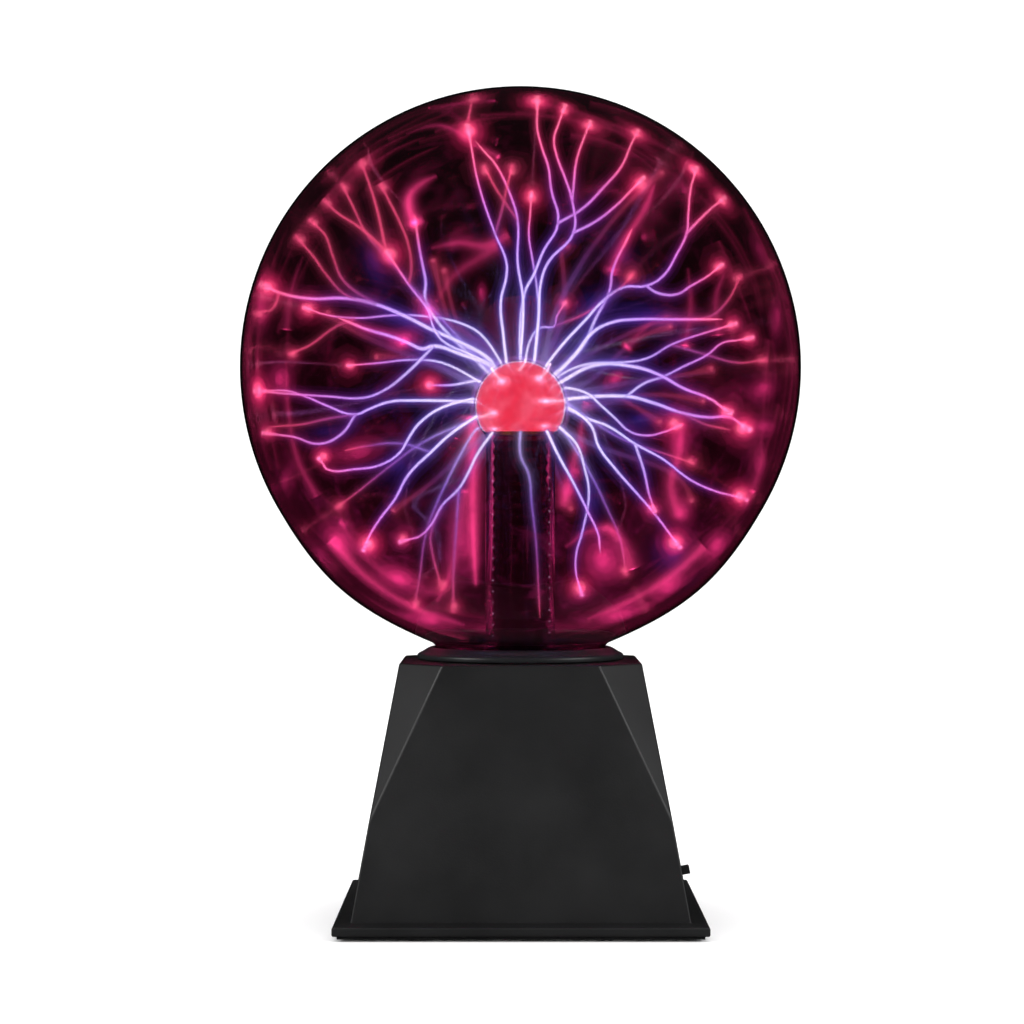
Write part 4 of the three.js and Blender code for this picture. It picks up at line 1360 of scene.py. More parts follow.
    def tubes(
        self,
        name: str,
        routes: Sequence[tuple[list[Vector], float, int, float]],
        widen: float,
        finishes: Sequence[GlowingGas],
    ) -> bpy.types.Object:
        """Sweeps a round section along every route.

        Args:
            name: the piece's name.
            routes: points, width, level and how much the tip flares, for each.
            widen: how much wider than the core this coat is.
            finishes: a glow for each level.

        Returns:
            The finished piece.
        """
        curve = bpy.data.curves.new(name, "CURVE")
        curve.dimensions = "3D"
        curve.bevel_depth = self.base_radius * MM
        curve.bevel_resolution = 2
        curve.use_fill_caps = True
        curve.resolution_u = 5
        for finish in finishes:
            curve.materials.append(finish.material())
        for points, width, level, flare in routes:
            spline = curve.splines.new("BEZIER")
            spline.bezier_points.add(len(points) - 1)
            spline.material_index = level
            for index, (knot, at) in enumerate(zip(spline.bezier_points, points)):
                share = index / (len(points) - 1)
                knot.co = at
                knot.handle_left_type = knot.handle_right_type = "AUTO"
                knot.radius = width * widen * (0.55 + 0.45 * share) * (flare if index == 0 else 1.0)
        holder = bpy.data.objects.new(name + "_curve", curve)
        bpy.context.scene.collection.objects.link(holder)
        bpy.context.view_layer.update()
        mesh = bpy.data.meshes.new_from_object(holder.evaluated_get(bpy.context.evaluated_depsgraph_get()))
        bpy.data.objects.remove(holder)
        bm = bmesh.new()
        bm.from_mesh(mesh)
        self.keep_inside(bm)
        return self.place(name, bm, finishes)

    def keep_inside(self, bm: bmesh.types.BMesh) -> None:
        """Keeps a glow between the electrode's glass and the globe's.

        Args:
            bm: the glow's mesh.
        """
        most, least = (self.reach + 0.7) * MM, (self.root_reach - 0.1) * MM
        for vert in bm.verts:
            out = vert.co - GLOBE_CENTRE
            if out.length > most:
                vert.co = GLOBE_CENTRE + out.normalized() * most
            near = vert.co - BULB_CENTRE
            if near.length < least:
                vert.co = BULB_CENTRE + near.normalized() * least

    def place(self, name: str, bm: bmesh.types.BMesh, finishes: Sequence[GlowingGas]) -> bpy.types.Object:
        """Makes a glow's object, which lights nothing but the eye.

        Args:
            name: the piece's name.
            bm: its mesh.
            finishes: its materials.

        Returns:
            The finished piece.
        """
        mesh = bpy.data.meshes.new(name)
        bm.to_mesh(mesh)
        bm.free()
        for finish in finishes:
            mesh.materials.append(finish.material())
        mesh.polygons.foreach_set("use_smooth", [True] * len(mesh.polygons))
        obj = bpy.data.objects.new(name, mesh)
        bpy.context.scene.collection.objects.link(obj)
        obj.visible_diffuse = False
        obj.visible_shadow = False
        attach(obj, "stand")
        log.info("%s: %d faces, %d glows", name, len(mesh.polygons), len(finishes))
        return obj

    def drops(
        self,
        name: str,
        shapes: Sequence[tuple[Matrix, int]],
        steps: Sequence[float],
        spread: float,
        tone: str,
        light: float,
        skin: float,
        stops: tuple[tuple[float, str], ...],
    ) -> bpy.types.Object:
        """Makes a stack of ever larger and weaker rounded glows at each place.

        Args:
            name: the piece's name.
            shapes: the place and half sizes of each glow, and its level.
            steps: how large each shape of the stack is.
            spread: the step at which the glow has fallen to a third.
            tone: the colour of the light inside.
            light: the light of each metre inside a shape of size one.
            skin: density of a shape's skin at size one.
            stops: the skins' colours.

        Returns:
            The finished piece.
        """
        finishes: list[GlowingGas] = []
        for number, step in enumerate(steps):
            weight = math.exp(-((step / spread) ** 2)) / step
            coat = f"{name} {number + 1}"
            finishes += self.soft_glows(coat, tone, light * weight, min(skin * weight, 0.5), stops)
        chance = random.Random(self.seed)
        bm = bmesh.new()
        for matrix, level in shapes:
            for number, step in enumerate(steps):
                sway = Matrix.Translation([chance.uniform(-0.12, 0.12) for _ in range(3)])
                fine = 3 if max(matrix.to_scale()) * step > 7 * MM else 2
                made = bmesh.ops.create_icosphere(
                    bm, subdivisions=fine, radius=1.0, matrix=matrix @ sway @ Matrix.Scale(step, 4)
                )
                for face in {face for vert in made["verts"] for face in vert.link_faces}:
                    face.material_index = 3 * number + level
        self.keep_inside(bm)
        return self.place(name, bm, finishes)

    def build_threads(self) -> None:
        """Makes the threads, coat by coat."""
        routes = []
        ordered = sorted(THREADS, key=lambda thread: bool(thread.joins))
        for thread in ordered:
            self.routes[thread.name] = self.route(thread)
            flare = 0.2 if thread.tip is Tip.NONE else 3.4
            points = self.routes[thread.name]
            near = points[0].lerp(points[1], min(0.5, 6.5 * MM / (points[0] - points[1]).length))
            routes.append(([points[0], near, *points[1:]], thread.width, thread.level.value, flare))
        far = [(points, 1.0, Level.FAINT.value, 2.4) for points in self.far_threads(self.far_count)]
        coats = (
            Layer("thread core", 0.32, (0.8, 0.45, 0.2), 3.8, self.core_stops),
            Layer("thread sheath", 0.6, (0.3, 0.19, 0.12), 2.8, self.core_stops),
            Layer("thread halo", 1.0, (0.12, 0.09, 0.07), 2.4, self.sheath_stops),
            Layer("thread veil", 1.7, (0.055, 0.045, 0.034), 2.2, self.sheath_stops),
            Layer("thread haze", 2.8, (0.03, 0.025, 0.02), 2.0, self.sheath_stops),
            Layer("thread mist", 4.6, (0.014, 0.012, 0.009), 1.8, self.sheath_stops),
        )
        for number, coat in enumerate(coats):
            every = [*routes, *far] if number > 1 else routes
            self.tubes(coat.name.replace(" ", "_") + "s", every, coat.widen, coat.finishes())

    def build_tips(self) -> None:
        """Makes the glow where each thread meets the glass."""
        sizes = {Tip.BULB: (2.3, 2.0), Tip.BRIGHT: (3.4, 2.8), Tip.CAP: (3.8, 1.5)}
        shapes = []
        for thread in THREADS:
            if thread.tip is Tip.NONE:
                continue
            at = self.routes[thread.name][0]
            out = (at - GLOBE_CENTRE).normalized()
            turn = out.to_track_quat("Z", "Y").to_matrix().to_4x4()
            wide, deep = sizes[thread.tip]
            size = Matrix.Diagonal((wide * MM, wide * MM, deep * MM * 1.25, 1))
            at = at - out * deep * MM
            shapes.append((Matrix.Translation(at) @ turn @ size, thread.level.value))
        shapes += [
            (Matrix.Translation(points[0]) @ Matrix.Scale(1.5 * MM, 4), Level.FAINT.value)
            for points in self.far_threads(self.far_count)
        ]
        steps = (0.4, 0.6, 0.85, 1.1)
        self.drops("tip_hearts", shapes, steps, 0.7, "#ff8ea8", 190.0, 0.02, self.rose_stops)
        steps = (0.5, 0.8, 1.2, 1.6, 2.1, 2.7, 3.4)
        self.drops("tip_halos", shapes, steps, 1.6, "#f0306e", 205.0, 0.004, self.pink_stops)

    def soft_glows(
        self, name: str, tone: str, light: float, skin: float, stops: tuple[tuple[float, str], ...]
    ) -> list[GlowingGas]:
        """Makes a bright, a medium and a faint glow that fill their shapes.

        Args:
            name: what glows.
            tone: the colour of the light inside.
            light: the light of each metre inside, at its brightest.
            skin: density of the shapes' skins, at their brightest.
            stops: the skins' colours.

        Returns:
            The three glows.
        """
        shares = (("bright", 1.0), ("medium", 0.62), ("faint", 0.36))
        return [
            GlowingGas(f"{name}, {word}", stops, skin * share, 1.6, body_tone=tone, body_light=light * share)
            for word, share in shares
        ]

    def cloud_shapes(self, clouds: Sequence[Cloud], depth_share: float) -> list[tuple[Matrix, int]]:
        """Places the soft glows.

        Args:
            clouds: the glows.
            depth_share: how far they sit towards the glass, as a share of the way.

        Returns:
            A place and level for each.
        """
        shapes = []
        for cloud in clouds:
            away = math.hypot(*cloud.place)
            reach = max(self.reach * depth_share, min(self.reach - 2, away + 6))
            at = self.on_glass(cloud.place, cloud.side, reach)
            turn = Matrix.Rotation(-math.radians(cloud.tilt), 4, "Y")
            size = Matrix.Diagonal((cloud.size[0] * MM, min(cloud.size) * MM, cloud.size[1] * MM, 1))
            shapes.append((Matrix.Translation(at) @ turn @ size, cloud.level.value))
        return shapes

    def build_clouds(self) -> None:
        """Makes the soft pink and violet glows."""
        steps = (0.35, 0.6, 0.9, 1.2, 1.6, 2.1)
        places = self.cloud_shapes(CLOUDS, 0.8)
        self.drops("pink_clouds", places, steps, 1.1, "#dc3076", 100.0, 0.004, self.pink_stops)
        places = self.cloud_shapes(VIOLET_CLOUDS, 0.5)
        self.drops("violet_clouds", places, steps, 1.1, "#4638cc", 15.0, 0.003, self.violet_stops)

    def build_ribbons(self) -> None:
        """Makes the wide soft ribbons."""
        routes = []
        for thread in RIBBONS:
            depth_reach = max(74.0, min(self.reach - 2, math.hypot(*thread.path[0]) + 5))
            points = [
                self.on_glass(place, thread.side, max(depth_reach, min(95.0, math.hypot(*place) + 3)))
                for place in thread.path
            ]
            routes.append((points, thread.width, thread.level.value, 0.5))
        for number, widen in enumerate((1.2, 2.0, 3.0, 4.1, 5.4, 6.8)):
            light = 290.0 * math.exp(-((widen / 4.2) ** 2)) / widen
            glows = self.soft_glows(f"ribbon {number + 1}", "#e63c7c", light, 0.006 / widen, self.pink_stops)
            self.tubes(f"ribbon_coat_{number + 1}", routes, widen, glows)

    def build_haze(self) -> None:
        """Makes the thin haze that fills the globe, densest near the glass and the bottom."""
        shells = (  # radius, density, size of the wisps in millimetres, and the noise they start from
            (97.4, 0.3, 15.0, 0.56),
            (92.0, 0.24, 11.0, 0.57),
            (84.0, 0.15, 14.0, 0.58),
            (68.0, 0.08, 18.0, 0.58),
        )
        for number, (radius, density, size, floor) in enumerate(shells):
            bm = bmesh.new()
            bmesh.ops.create_uvsphere(
                bm, u_segments=72, v_segments=48, radius=radius * MM, matrix=Matrix.Translation(GLOBE_CENTRE)
            )
            for vert in bm.verts:
                vert.co.z = max(vert.co.z, self.gas_floor * MM)
            glow = GlowingGas(
                f"magenta haze {number + 1}",
                ((0.0, "#5a1058"), (60.0, "#8a1c60"), (112.0, "#b82864")),
                density,
                1.8,
                1.0,
                size,
                floor,
                low_heavy=True,
            )
            self.place(f"gas_haze_{number + 1}", bm, [glow])

    def build_limb(self) -> None:
        """Makes the glow along the inside of the glass, thin at the top and thick at the bottom."""
        globe = Globe()
        outline = [point for point in globe.outline() if point[1] > 99.5]
        for name, skin, top, bottom, tone, light in (
            ("limb_glow_outer", 0.6, 0.25, 3.8, "#cc2c68", 5.0),
            ("limb_glow_inner", 0.9, 0.3, 17.0, "#b01c5c", 1.5),
        ):
            outer = [point for point in reversed(shelled(outline, skin)[: len(outline)])]
            points = []
            for radius, height in outer:
                share = min(1.0, max(0.0, (height - 100) / 170)) ** 0.22
                thick = bottom + (top - bottom) * share
                middle = Vector((radius, height - GLOBE_CENTRE.z / MM))
                inner = middle - middle.normalized() * thick
                points.append((max(inner.x, 0.0), inner.y + GLOBE_CENTRE.z / MM))
            bm = turned([*outer[::-1], *points], 96)
            glow = GlowingGas(
                name.replace("_", " "), self.pink_stops, 0.0006, 1.0, body_tone=tone, body_light=light
            )
            self.place(name, bm, [glow])

    def build_corona(self) -> None:
        """Makes the pale skin of light on the electrode's glass, and its bright spots."""
        cut = self.electrode_flat() / MM
        centre = BULB_CENTRE.z / MM
        for name, radius, thick, tone, light in (
            ("electrode_rim", 16.15, 0.16, "#ffd2e4", 600.0),
            ("electrode_corona", 18.2, 1.55, "#d070d0", 24.0),
        ):
            start = math.acos((cut - centre) / radius)
            angles = [start * (1 - step / 36) for step in range(36)]
            outline = [(radius * math.sin(angle), centre + radius * math.cos(angle)) for angle in angles]
            bm = turned(shelled([*outline, (0.0, centre + radius)], thick), 72)
            tones = ((0.0, "#ffc8d8"), (112.0, "#ffc8d8"))
            glow = GlowingGas(name.replace("_", " "), tones, 0.01, 1.5, body_tone=tone, body_light=light)
            self.place(name, bm, [glow])
        tones = ((0.0, "#ffd0e8"), (112.0, "#ffd0e8"))
        shapes = []
        for across, up, wide, high in (
            (-6.3, -5.6, 3.0, 2.4),
            (6.4, -4.4, 2.6, 2.2),
            (9.0, -12.3, 4.4, 1.5),
            (-9.4, -16.4, 2.4, 1.7),
            (8.5, -20.8, 2.6, 1.3),
            (-9.3, -22.0, 2.4, 1.1),
        ):
            at = self.on_bulb((across, up))
            turn = (at - BULB_CENTRE).to_track_quat("Y", "Z").to_matrix().to_4x4()
            size = Matrix.Diagonal((wide * MM, 0.8 * MM, high * MM, 1))
            shapes.append((Matrix.Translation(at) @ turn @ size, 0))
        self.drops("root_glows", shapes, (0.4, 0.7, 1.0, 1.4, 1.9), 1.15, "#ffa8d0", 900.0, 0.004, tones)
        runs = (
            ((-10.8, 1.0), (-8.8, -2.6), (-6.6, -5.2)),
            ((10.6, 1.4), (9.2, -1.6), (6.8, -4.0)),
            ((16.4, -12.4), (12.6, -12.0), (8.2, -12.4)),
            ((-16.2, -18.0), (-13.0, -17.4), (-9.6, -16.2)),
            ((1.8, 3.2), (1.0, 0.6), (-0.6, -1.6)),
        )
        routes = [([self.on_bulb(place) for place in run], 1.1, 0, 0.8) for run in runs]
        for number, (widen, light) in enumerate(((0.35, 700.0), (0.7, 260.0), (1.2, 80.0), (1.9, 22.0))):
            glows = self.soft_glows(f"root thread {number + 1}", "#ffd6ee", light, 0.01, tones)
            self.tubes(f"root_thread_coat_{number + 1}", routes, widen, glows)

    def on_bulb(self, place: Point) -> Vector:
        """Places a point on the front of the electrode's glass.

        Args:
            place: across, and up from the globe's centre, in millimetres.

        Returns:
            The place on the glass.
        """
        rise = place[1] * MM + GLOBE_CENTRE.z - BULB_CENTRE.z
        left = (self.root_reach * MM) ** 2 - (place[0] * MM) ** 2 - rise * rise
        return BULB_CENTRE + Vector((place[0] * MM, -math.sqrt(max(left, 0.0)), rise))

    def build_painted_glints(self) -> None:
        """Makes small glowing beads down both sides of the stem: painted glints where the ribs would catch
        the light.
        """
        shapes = []
        for across, side in ((-9.7, -1), (10.2, 1)):
            for step in range(17):
                at = self.set_back(across * MM, (-32.0 - 3.94 * step + 0.6 * side) * MM, -3.0 * MM)
                shapes.append((Matrix.Translation(at) @ Matrix.Scale(0.42 * MM, 4), (step + 1) % 3))
        # painted highlights: pale glowing beads in place of light reflected by the ribs
        tones = ((0.0, "#d8b8d8"), (112.0, "#d8b8d8"))
        self.drops("rib_glints", shapes, (0.5, 0.9, 1.4), 1.0, "#d8a8cc", 1700.0, 0.01, tones)

    def build_painted_reflections(self) -> None:
        """Makes faint glowing arcs just inside the globe's edge: painted reflections of the discharge in the
        glass.
        """
        chance = random.Random(self.seed + 2)
        routes = []
        sweeps = (  # middle and half width in degrees, and how many arcs
            (175.0, 34.0, 20),
            (0.0, 34.0, 18),
            (112.0, 24.0, 11),
            (62.0, 18.0, 9),
            (228.0, 20.0, 9),
            (300.0, 24.0, 9),
        )
        for middle, spread, count in sweeps:
            for _ in range(count):
                radius = 98.8 - 15.0 * chance.random() ** 2
                start = middle + chance.uniform(-spread, spread * 0.4)
                turn = chance.uniform(14.0, 34.0)
                bend = chance.uniform(-2.0, 1.5)
                points = []
                for step in range(7):
                    angle = math.radians(start + turn * step / 6)
                    away = radius + bend * math.sin(math.pi * step / 6)
                    place = (away * math.cos(angle), away * math.sin(angle))
                    points.append(self.on_glass(place, Side.FRONT, self.reach + 0.4))
                routes.append((points, chance.uniform(0.5, 1.0), chance.choice((1, 2, 2)), 0.3))
        # painted reflections: glowing coats that stand in for what the glass mirrors
        for number, (widen, light) in enumerate(((0.5, 120.0), (1.0, 70.0), (1.8, 36.0), (3.0, 15.0))):
            glows = self.soft_glows(f"glass echo {number + 1}", "#d03068", light, 0.01, self.pink_stops)
            self.tubes(f"glass_echo_coat_{number + 1}", routes, widen, glows)

    def electrode_flat(self) -> float:
        """Returns the height of the wool's flat underside, in metres."""
        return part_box("electrode_wool")[0].z

    def build(self) -> None:
        """Makes the whole discharge."""
        self.build_threads()
        self.build_tips()
        self.build_clouds()
        self.build_ribbons()
        self.build_haze()
        self.build_limb()
        self.build_corona()
        self.build_painted_glints()
        self.build_painted_reflections()


# ------------------------------------------------------------------ stand


@dataclass
class Stand:
    """The faceted moulding, its collar, its cover and its feet."""

    corner_round: float = 0.7
    flange_half: float = 63.7
    collar_radius: float = 36.85
    collar_bore: float = 30.9
    foot_radius: float = 6.0
    screw_head: float = 2.75
    cross_radius: float = 1.7

    def build_housing(self) -> bpy.types.Object:
        """Returns the moulding, with its long outer edges rounded."""
        bm = copy_of("housing_shell")
        edges = []
        for edge in bm.edges:
            if not edge.is_manifold or not edge.is_convex or edge.calc_face_angle(0) < math.radians(12):
                continue
            ends = [vert.co / MM for vert in edge.verts]
            length = edge.calc_length() / MM
            lowest, highest = min(p.z for p in ends), max(p.z for p in ends)
            flange = highest < 5.2 and all(max(abs(p.x), abs(p.y)) > self.flange_half - 0.3 for p in ends)
            tower = length > 15 and all(
                max(abs(p.x), abs(p.y)) > 42.0
                or (abs(p.z - TOWER_TOP) < 0.1 and math.hypot(p.x, p.y) > 40)
                for p in ends
            )
            if flange or (tower and (lowest > 5.2 or (length > 30 and highest > 20))):
                edges.append(edge)
        bmesh.ops.bevel(
            bm,
            geom=edges,
            offset=self.corner_round * MM,
            offset_type="OFFSET",
            affect="EDGES",
            segments=3,
            profile=0.5,
            material=-1,
            clamp_overlap=False,
        )
        obj = add_piece("housing", bm, BLACK_ABS, ["housing_shell"], crease=30)
        even_shading(obj)
        return obj

    def build_collar(self) -> bpy.types.Object:
        """Returns the collar round the neck: a low ring with a sloping, rounded top."""
        low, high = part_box("collar_ring")
        bottom, top = low.z / MM, high.z / MM
        radius, bore = self.collar_radius, self.collar_bore
        shoulder = (radius - 1.6, bottom + 2.5)
        points = [
            (bore, bottom),
            (radius - 0.3, bottom),
            (radius, bottom + 0.3),
            (radius, bottom + 1.1),
            *cubic(
                (radius, bottom + 1.1), (radius, bottom + 1.9), (radius - 0.8, bottom + 2.2), shoulder, 5
            )[1:],
            *cubic(shoulder, (radius - 3.0, top - 0.9), (radius - 3.6, top - 0.3), (bore + 1.2, top), 6)[1:],
            (bore + 0.5, top - 0.1),
            (bore, top - 0.6),
        ]
        bm = turned(points, 128)
        return add_piece("collar", bm, DARK_ABS, ["collar_ring"], crease=50)

    def build_cover(self) -> bpy.types.Object:
        """Returns the bottom cover."""
        bm = copy_of("bottom_cover")
        return add_piece("base_cover", bm, BLACK_ABS, ["bottom_cover"], crease=30)

    def build_feet(self) -> None:
        """Makes the four rubber feet: soft discs with a dished sole."""
        for number in range(1, 5):
            low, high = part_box(f"rubber_foot_{number}")
            middle = (low + high) / 2
            top, radius = high.z / MM, self.foot_radius
            sole = [(0.0, 0.12), (3.6, 0.12), (4.3, 0.0), (radius - 0.45, 0.0)]
            points = [*sole, (radius - 0.12, 0.14), (radius, 0.45), (radius, top), (0.0, top)]
            place = Matrix.Translation((middle.x, middle.y, 0))
            bm = turned(points, 48, place)
            add_piece(f"foot_{number}", bm, RUBBER, [f"rubber_foot_{number}"])

    def build_screws(self) -> None:
        """Makes the four cover screws, with a cross recess in each domed head."""
        for number in range(1, 5):
            low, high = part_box(f"cover_screw_{number}")
            middle = (low + high) / 2
            foot, top = low.z / MM, high.z / MM
            head = self.screw_head
            points = [(0.0, foot + 0.02)]
            for angle in (0.35, 0.7, 1.05, 1.35, 1.57):
                points.append((head * math.sin(angle), foot + 1.15 * (1 - math.cos(angle)) + 0.02))
            points += [(head, foot + 1.7), (1.28, foot + 1.7), (1.28, top - 1.4), (0.0, top)]
            bm = turned(points, 24)
            around = [f for f in bm.faces if f.normal.z < -0.5 and f.calc_center_median().length_squared > 0]
            near = [f for f in around if math.hypot(*f.calc_center_median().xy) < self.cross_radius * MM]
            arms = [f for f in near if self.on_cross(f)]
            made = bmesh.ops.extrude_face_region(bm, geom=arms)
            moved = [item for item in made["geom"] if isinstance(item, bmesh.types.BMVert)]
            bmesh.ops.translate(bm, vec=(0, 0, 0.7 * MM), verts=moved)
            bmesh.ops.delete(bm, geom=arms, context="FACES_ONLY")
            bmesh.ops.recalc_face_normals(bm, faces=bm.faces)
            bmesh.ops.translate(bm, vec=(middle.x, middle.y, 0), verts=bm.verts)
            replaced = [f"cover_screw_{number}"]
            add_piece(f"cover_screw_head_{number}", bm, ZINC_STEEL, replaced, crease=35)

    def on_cross(self, face: bmesh.types.BMFace) -> bool:
        """Tells whether a face of a screw's head lies on one of the four arms of its recess."""
        middle = face.calc_center_median()
        turn = math.degrees(math.atan2(middle.y, middle.x)) % 90
        return turn < 16 or turn > 74

    def build(self) -> None:
        """Makes the whole stand."""
        self.build_housing()
        self.build_collar()
        self.build_cover()
        self.build_feet()
        self.build_screws()


@dataclass
class Controls:
    """The mode switch on the right and the power socket at the back."""

    switch_height: float = 16.1
    knob_height: float = 3.0
    knob_reach: float = 4.7
    jack_height: float = 22.0
    bezel_radius: float = 6.2
    bezel: float = 1.6
    barrel_radius: float = 4.9
    bore_radius: float = 3.1
    barrel_length: float = 12.0

    def build_knob(self) -> bpy.types.Object:
        """Returns the switch's slider with rounded edges and finger ridges."""
        bm = copy_of("switch_slider")
        soften(bm, 0.28, 3)
        place = wall_frame(0, 0, self.switch_height)
        for number in range(4):
            along = (number - 1.5) * 0.85
            ridge = Matrix.Translation((along * MM, 0, (self.knob_reach - 0.12) * MM)) @ Matrix.Diagonal(
                (0.42 * MM, (self.knob_height - 0.7) * MM, 0.24 * MM, 1)
            )
            made = bmesh.ops.create_cube(bm, size=1.0, matrix=place @ ridge)
            edges = list({edge for vert in made["verts"] for edge in vert.link_edges})
            bmesh.ops.bevel(
                bm,
                geom=edges,
                offset=0.07 * MM,
                offset_type="OFFSET",
                affect="EDGES",
                segments=2,
                profile=0.5,
                material=-1,
            )
        obj = add_piece("mode_knob", bm, BLACK_ABS, ["switch_slider"], body="slider", crease=30)
        even_shading(obj)
        return obj

    def build_jack(self) -> bpy.types.Object:
        """Returns the power socket: a round bezel with a stepped, countersunk bore."""
        back = 0.3 - self.barrel_length
        front = 0.3 + self.bezel
        points = [
            (1.35, back + 2.4),
            (1.35, back),
            (self.barrel_radius, back),
            (self.barrel_radius, 0.3),
            (self.bezel_radius - 0.2, 0.3),
            (self.bezel_radius, 0.5),
            (self.bezel_radius, front - 0.6),
            (self.bezel_radius - 0.2, front - 0.2),
            (self.bezel_radius - 0.6, front),
            (self.bore_radius + 0.9, front),
            (self.bore_radius + 0.75, front - 0.12),
            (self.bore_radius + 0.7, front - 0.35),
            (self.bore_radius, front - 1.0),
            (self.bore_radius, back + 2.4),
        ]
        bm = turned(points, 64, wall_frame(1, 0, self.jack_height))
        return add_piece("jack_socket", bm, DARK_ABS, ["power_jack"], crease=35)

    def build_pin(self) -> bpy.types.Object:
        """Returns the socket's centre pin, with a rounded nose."""
        back = 0.3 - self.barrel_length - 2.5
        nose = [(1.03, -0.9), (0.95, -0.62), (0.72, -0.4), (0.4, -0.31), (0.0, -0.3)]
        bm = turned([(0.0, back), (1.03, back), *nose], 32, wall_frame(1, 0, self.jack_height))
        return add_piece("jack_centre_pin", bm, BRASS, ["jack_pin"], crease=50)

    def build(self) -> None:
        """Makes the controls."""
        self.build_knob()
        self.build_jack()
        self.build_pin()


@dataclass(frozen=True)
class Interior:
    """The parts inside the stand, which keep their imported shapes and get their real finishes."""

    finishes: tuple[tuple[Finish, tuple[str, ...]], ...] = (
        (STEM_GLASS, ("exhaust_pip",)),
        (BRASS, ("electrode_contact",)),
        (RUBBER, ("neck_gasket", "mic_grommet")),
        (DARK_ABS, ("globe_clamp_ring",)),
        (ZINC_STEEL, ("clamp_screw_", "board_screw_", "switch_screw_")),
        (ZINC_STEEL, ("transistor_screw", "jack_nut", "switch_body")),
        (LAMINATE, ("circuit_board",)),
        (FERRITE, ("flyback_core",)),
        (TAPE, ("flyback_coil",)),
        (ALUMINIUM, ("heat_sink", "microphone")),
        (CHIP_EPOXY, ("power_transistor", "driver_chip")),
        (SLEEVING, ("bulk_capacitor",)),
        (DIPPED_EPOXY, ("film_capacitor",)),
        (RED_PVC, ("jack_lead_plus", "switch_lead_1")),
        (BLACK_PVC, ("jack_lead_minus", "switch_lead_2", "mic_lead_2")),
        (WHITE_PVC, ("mic_lead_1",)),
        (SILICONE, ("hv_lead",)),
    )

    def dress(self) -> None:
        """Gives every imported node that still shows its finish."""
        for finish, names in self.finishes:
            for name, obj in sorted(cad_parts.items()):
                family = name.rstrip("0123456789")
                if obj.hide_render or (name not in names and family not in names):
                    continue
                for place in obj.material_slots:
                    place.material = finish.material()
                log.info("%s: %s", name, finish.name)


# ------------------------------------------------------------------ studio


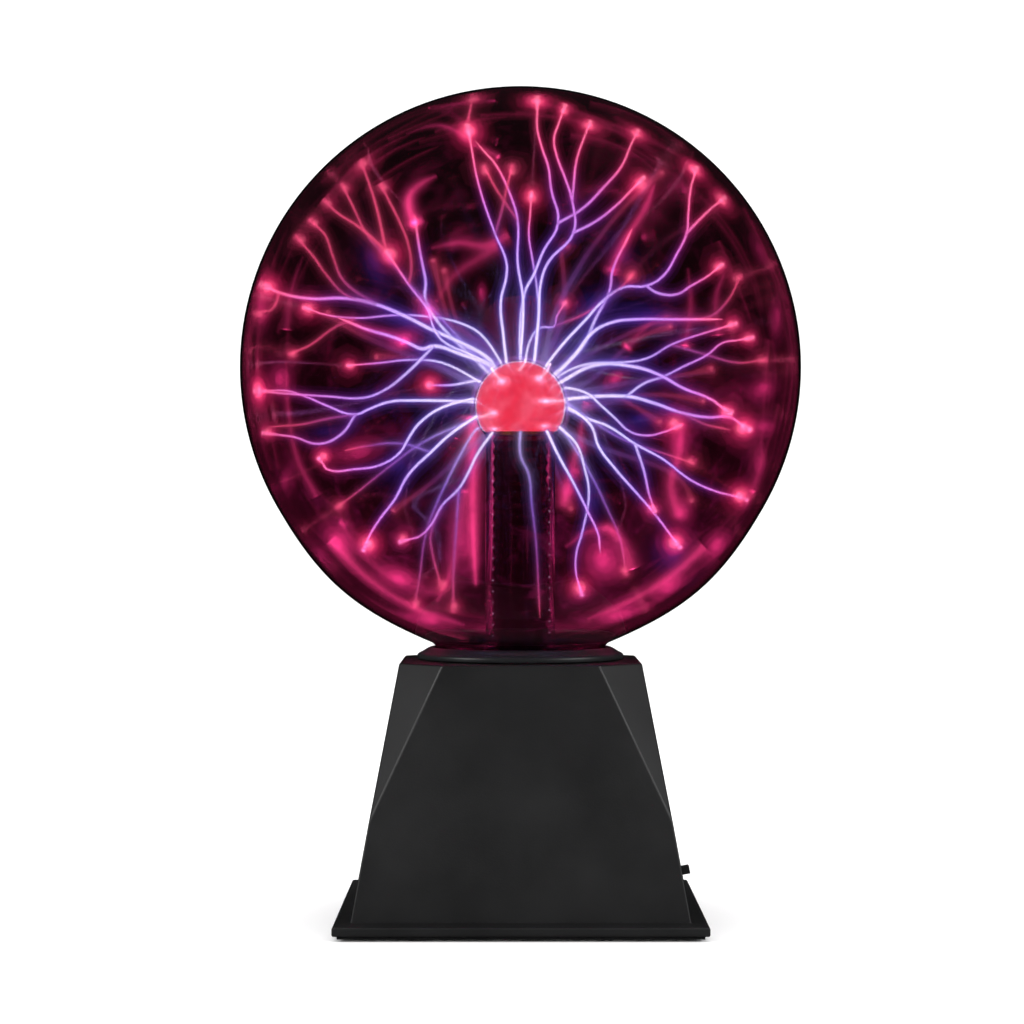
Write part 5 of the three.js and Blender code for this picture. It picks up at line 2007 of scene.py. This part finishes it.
@dataclass
class Studio:
    """A white sweep, soft boxes and the camera."""

    lens: float = 101.3
    floor_half: float = 40.0

    def build_floor(self) -> None:
        """Makes the white floor, matt."""
        bm = bmesh.new()
        bmesh.ops.create_grid(bm, x_segments=2, y_segments=2, size=self.floor_half)
        mesh = bpy.data.meshes.new("floor")
        bm.to_mesh(mesh)
        bm.free()
        obj = bpy.data.objects.new("floor", mesh)
        bpy.context.scene.collection.objects.link(obj)
        paper = bpy.data.materials.new("white sweep")
        paper.use_nodes = True
        paper.node_tree.nodes.clear()
        shader = add_node(
            paper.node_tree,
            "ShaderNodeBsdfDiffuse",
            values={"Color": (0.94, 0.94, 0.94, 1), "Roughness": 0.3},
        )
        add_node(paper.node_tree, "ShaderNodeOutputMaterial", links={"Surface": shader.outputs["BSDF"]})
        mesh.materials.append(paper)
        obj.visible_transmission = False
        obj.visible_glossy = False

    def build_world(self) -> None:
        """Makes the surroundings: white to the eye and as fill, dim in glass and in gloss."""
        world = bpy.data.worlds.new("studio")
        bpy.context.scene.world = world
        world.use_nodes = True
        world.cycles.sampling_method = "NONE"
        tree = world.node_tree
        tree.nodes.clear()
        path = add_node(tree, "ShaderNodeLightPath")
        open_way = add_node(
            tree,
            "ShaderNodeMath",
            settings={"operation": "MAXIMUM"},
            links={0: path.outputs["Is Camera Ray"], 1: path.outputs["Is Diffuse Ray"]},
        )
        way = add_node(tree, "ShaderNodeTexCoord").outputs["Generated"]
        height = add_node(tree, "ShaderNodeSeparateXYZ", links={"Vector": way})
        dim = add_node(
            tree,
            "ShaderNodeValToRGB",
            links={"Fac": height.outputs["Z"]},
            stops=((0.0, "#2a2a2c"), (0.9, "#6a6c70")),
        )
        white = add_node(tree, "ShaderNodeBackground", values={"Color": (1, 1, 1, 1), "Strength": 1.25})
        dark = add_node(
            tree, "ShaderNodeBackground", values={"Strength": 0.07}, links={"Color": dim.outputs["Color"]}
        )
        mix = add_node(
            tree,
            "ShaderNodeMixShader",
            links={
                0: open_way.outputs["Value"],
                1: dark.outputs["Background"],
                2: white.outputs["Background"],
            },
        )
        add_node(tree, "ShaderNodeOutputWorld", links={"Surface": mix.outputs["Shader"]})

    def add_box(
        self, name: str, place: tuple[float, float, float], size: float, power: float, aim: float
    ) -> None:
        """Adds a soft box that the glass doesn't mirror.

        Args:
            name: its name.
            place: where it stands, in metres.
            size: its side, in metres.
            power: its power, in watts.
            aim: the height that it points at, in metres.
        """
        light = bpy.data.lights.new(name, "AREA")
        light.shape = "SQUARE"
        light.size = size
        light.energy = power
        obj = bpy.data.objects.new(name, light)
        obj.location = place
        obj.rotation_mode = "QUATERNION"
        obj.rotation_quaternion = (Vector((0, 0, aim)) - Vector(place)).to_track_quat("-Z", "Y")
        bpy.context.scene.collection.objects.link(obj)
        obj.light_linking.receiver_collection = self.unlit

    def build_lights(self) -> None:
        """Makes the soft boxes: one on each side, and a wide one overhead."""
        self.unlit = bpy.data.collections.new("glass")
        for name in ("globe", "glass_stem"):
            self.unlit.objects.link(bpy.data.objects[name])
        for entry in self.unlit.collection_objects:
            entry.light_linking.link_state = "EXCLUDE"
        self.add_box("left box", (-1.65, -0.75, 1.05), 0.9, 15.0, 0.06)
        self.add_box("right box", (1.65, -0.75, 1.05), 0.9, 15.0, 0.06)
        self.add_box("top box", (0, 0.3, 1.6), 1.0, 9.0, 0.1)

    def build_camera(self) -> None:
        """Makes the camera: level, straight at the front."""
        camera = bpy.data.cameras.new("camera")
        camera.lens = self.lens
        camera.sensor_width = 36
        camera.clip_start = 0.05
        camera.clip_end = 200
        obj = bpy.data.objects.new("camera", camera)
        obj.location = VIEWPOINT
        obj.rotation_euler = (math.pi / 2, 0, 0)
        bpy.context.scene.collection.objects.link(obj)
        bpy.context.scene.camera = obj

    def build(self) -> None:
        """Makes the studio."""
        scene = bpy.context.scene
        scene.view_settings.view_transform = "Standard"
        scene.view_settings.look = "None"
        scene.cycles.max_bounces = 16
        scene.cycles.transmission_bounces = 12
        scene.cycles.transparent_max_bounces = 128
        scene.cycles.sample_clamp_indirect = 4.0
        self.build_floor()
        self.build_world()
        self.build_lights()
        self.build_camera()


def main() -> None:
    """Builds every piece in order, then the studio."""
    logging.basicConfig(level=logging.INFO, format="%(name)s: %(message)s")
    Globe().build()
    Stem().build()
    Discharge().build()
    Stand().build()
    Controls().build()
    Interior().dress()
    Studio().build()
    log.info("%d packed nodes still show", sum(not obj.hide_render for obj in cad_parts.values()))


if __name__ == "__main__":
    main()
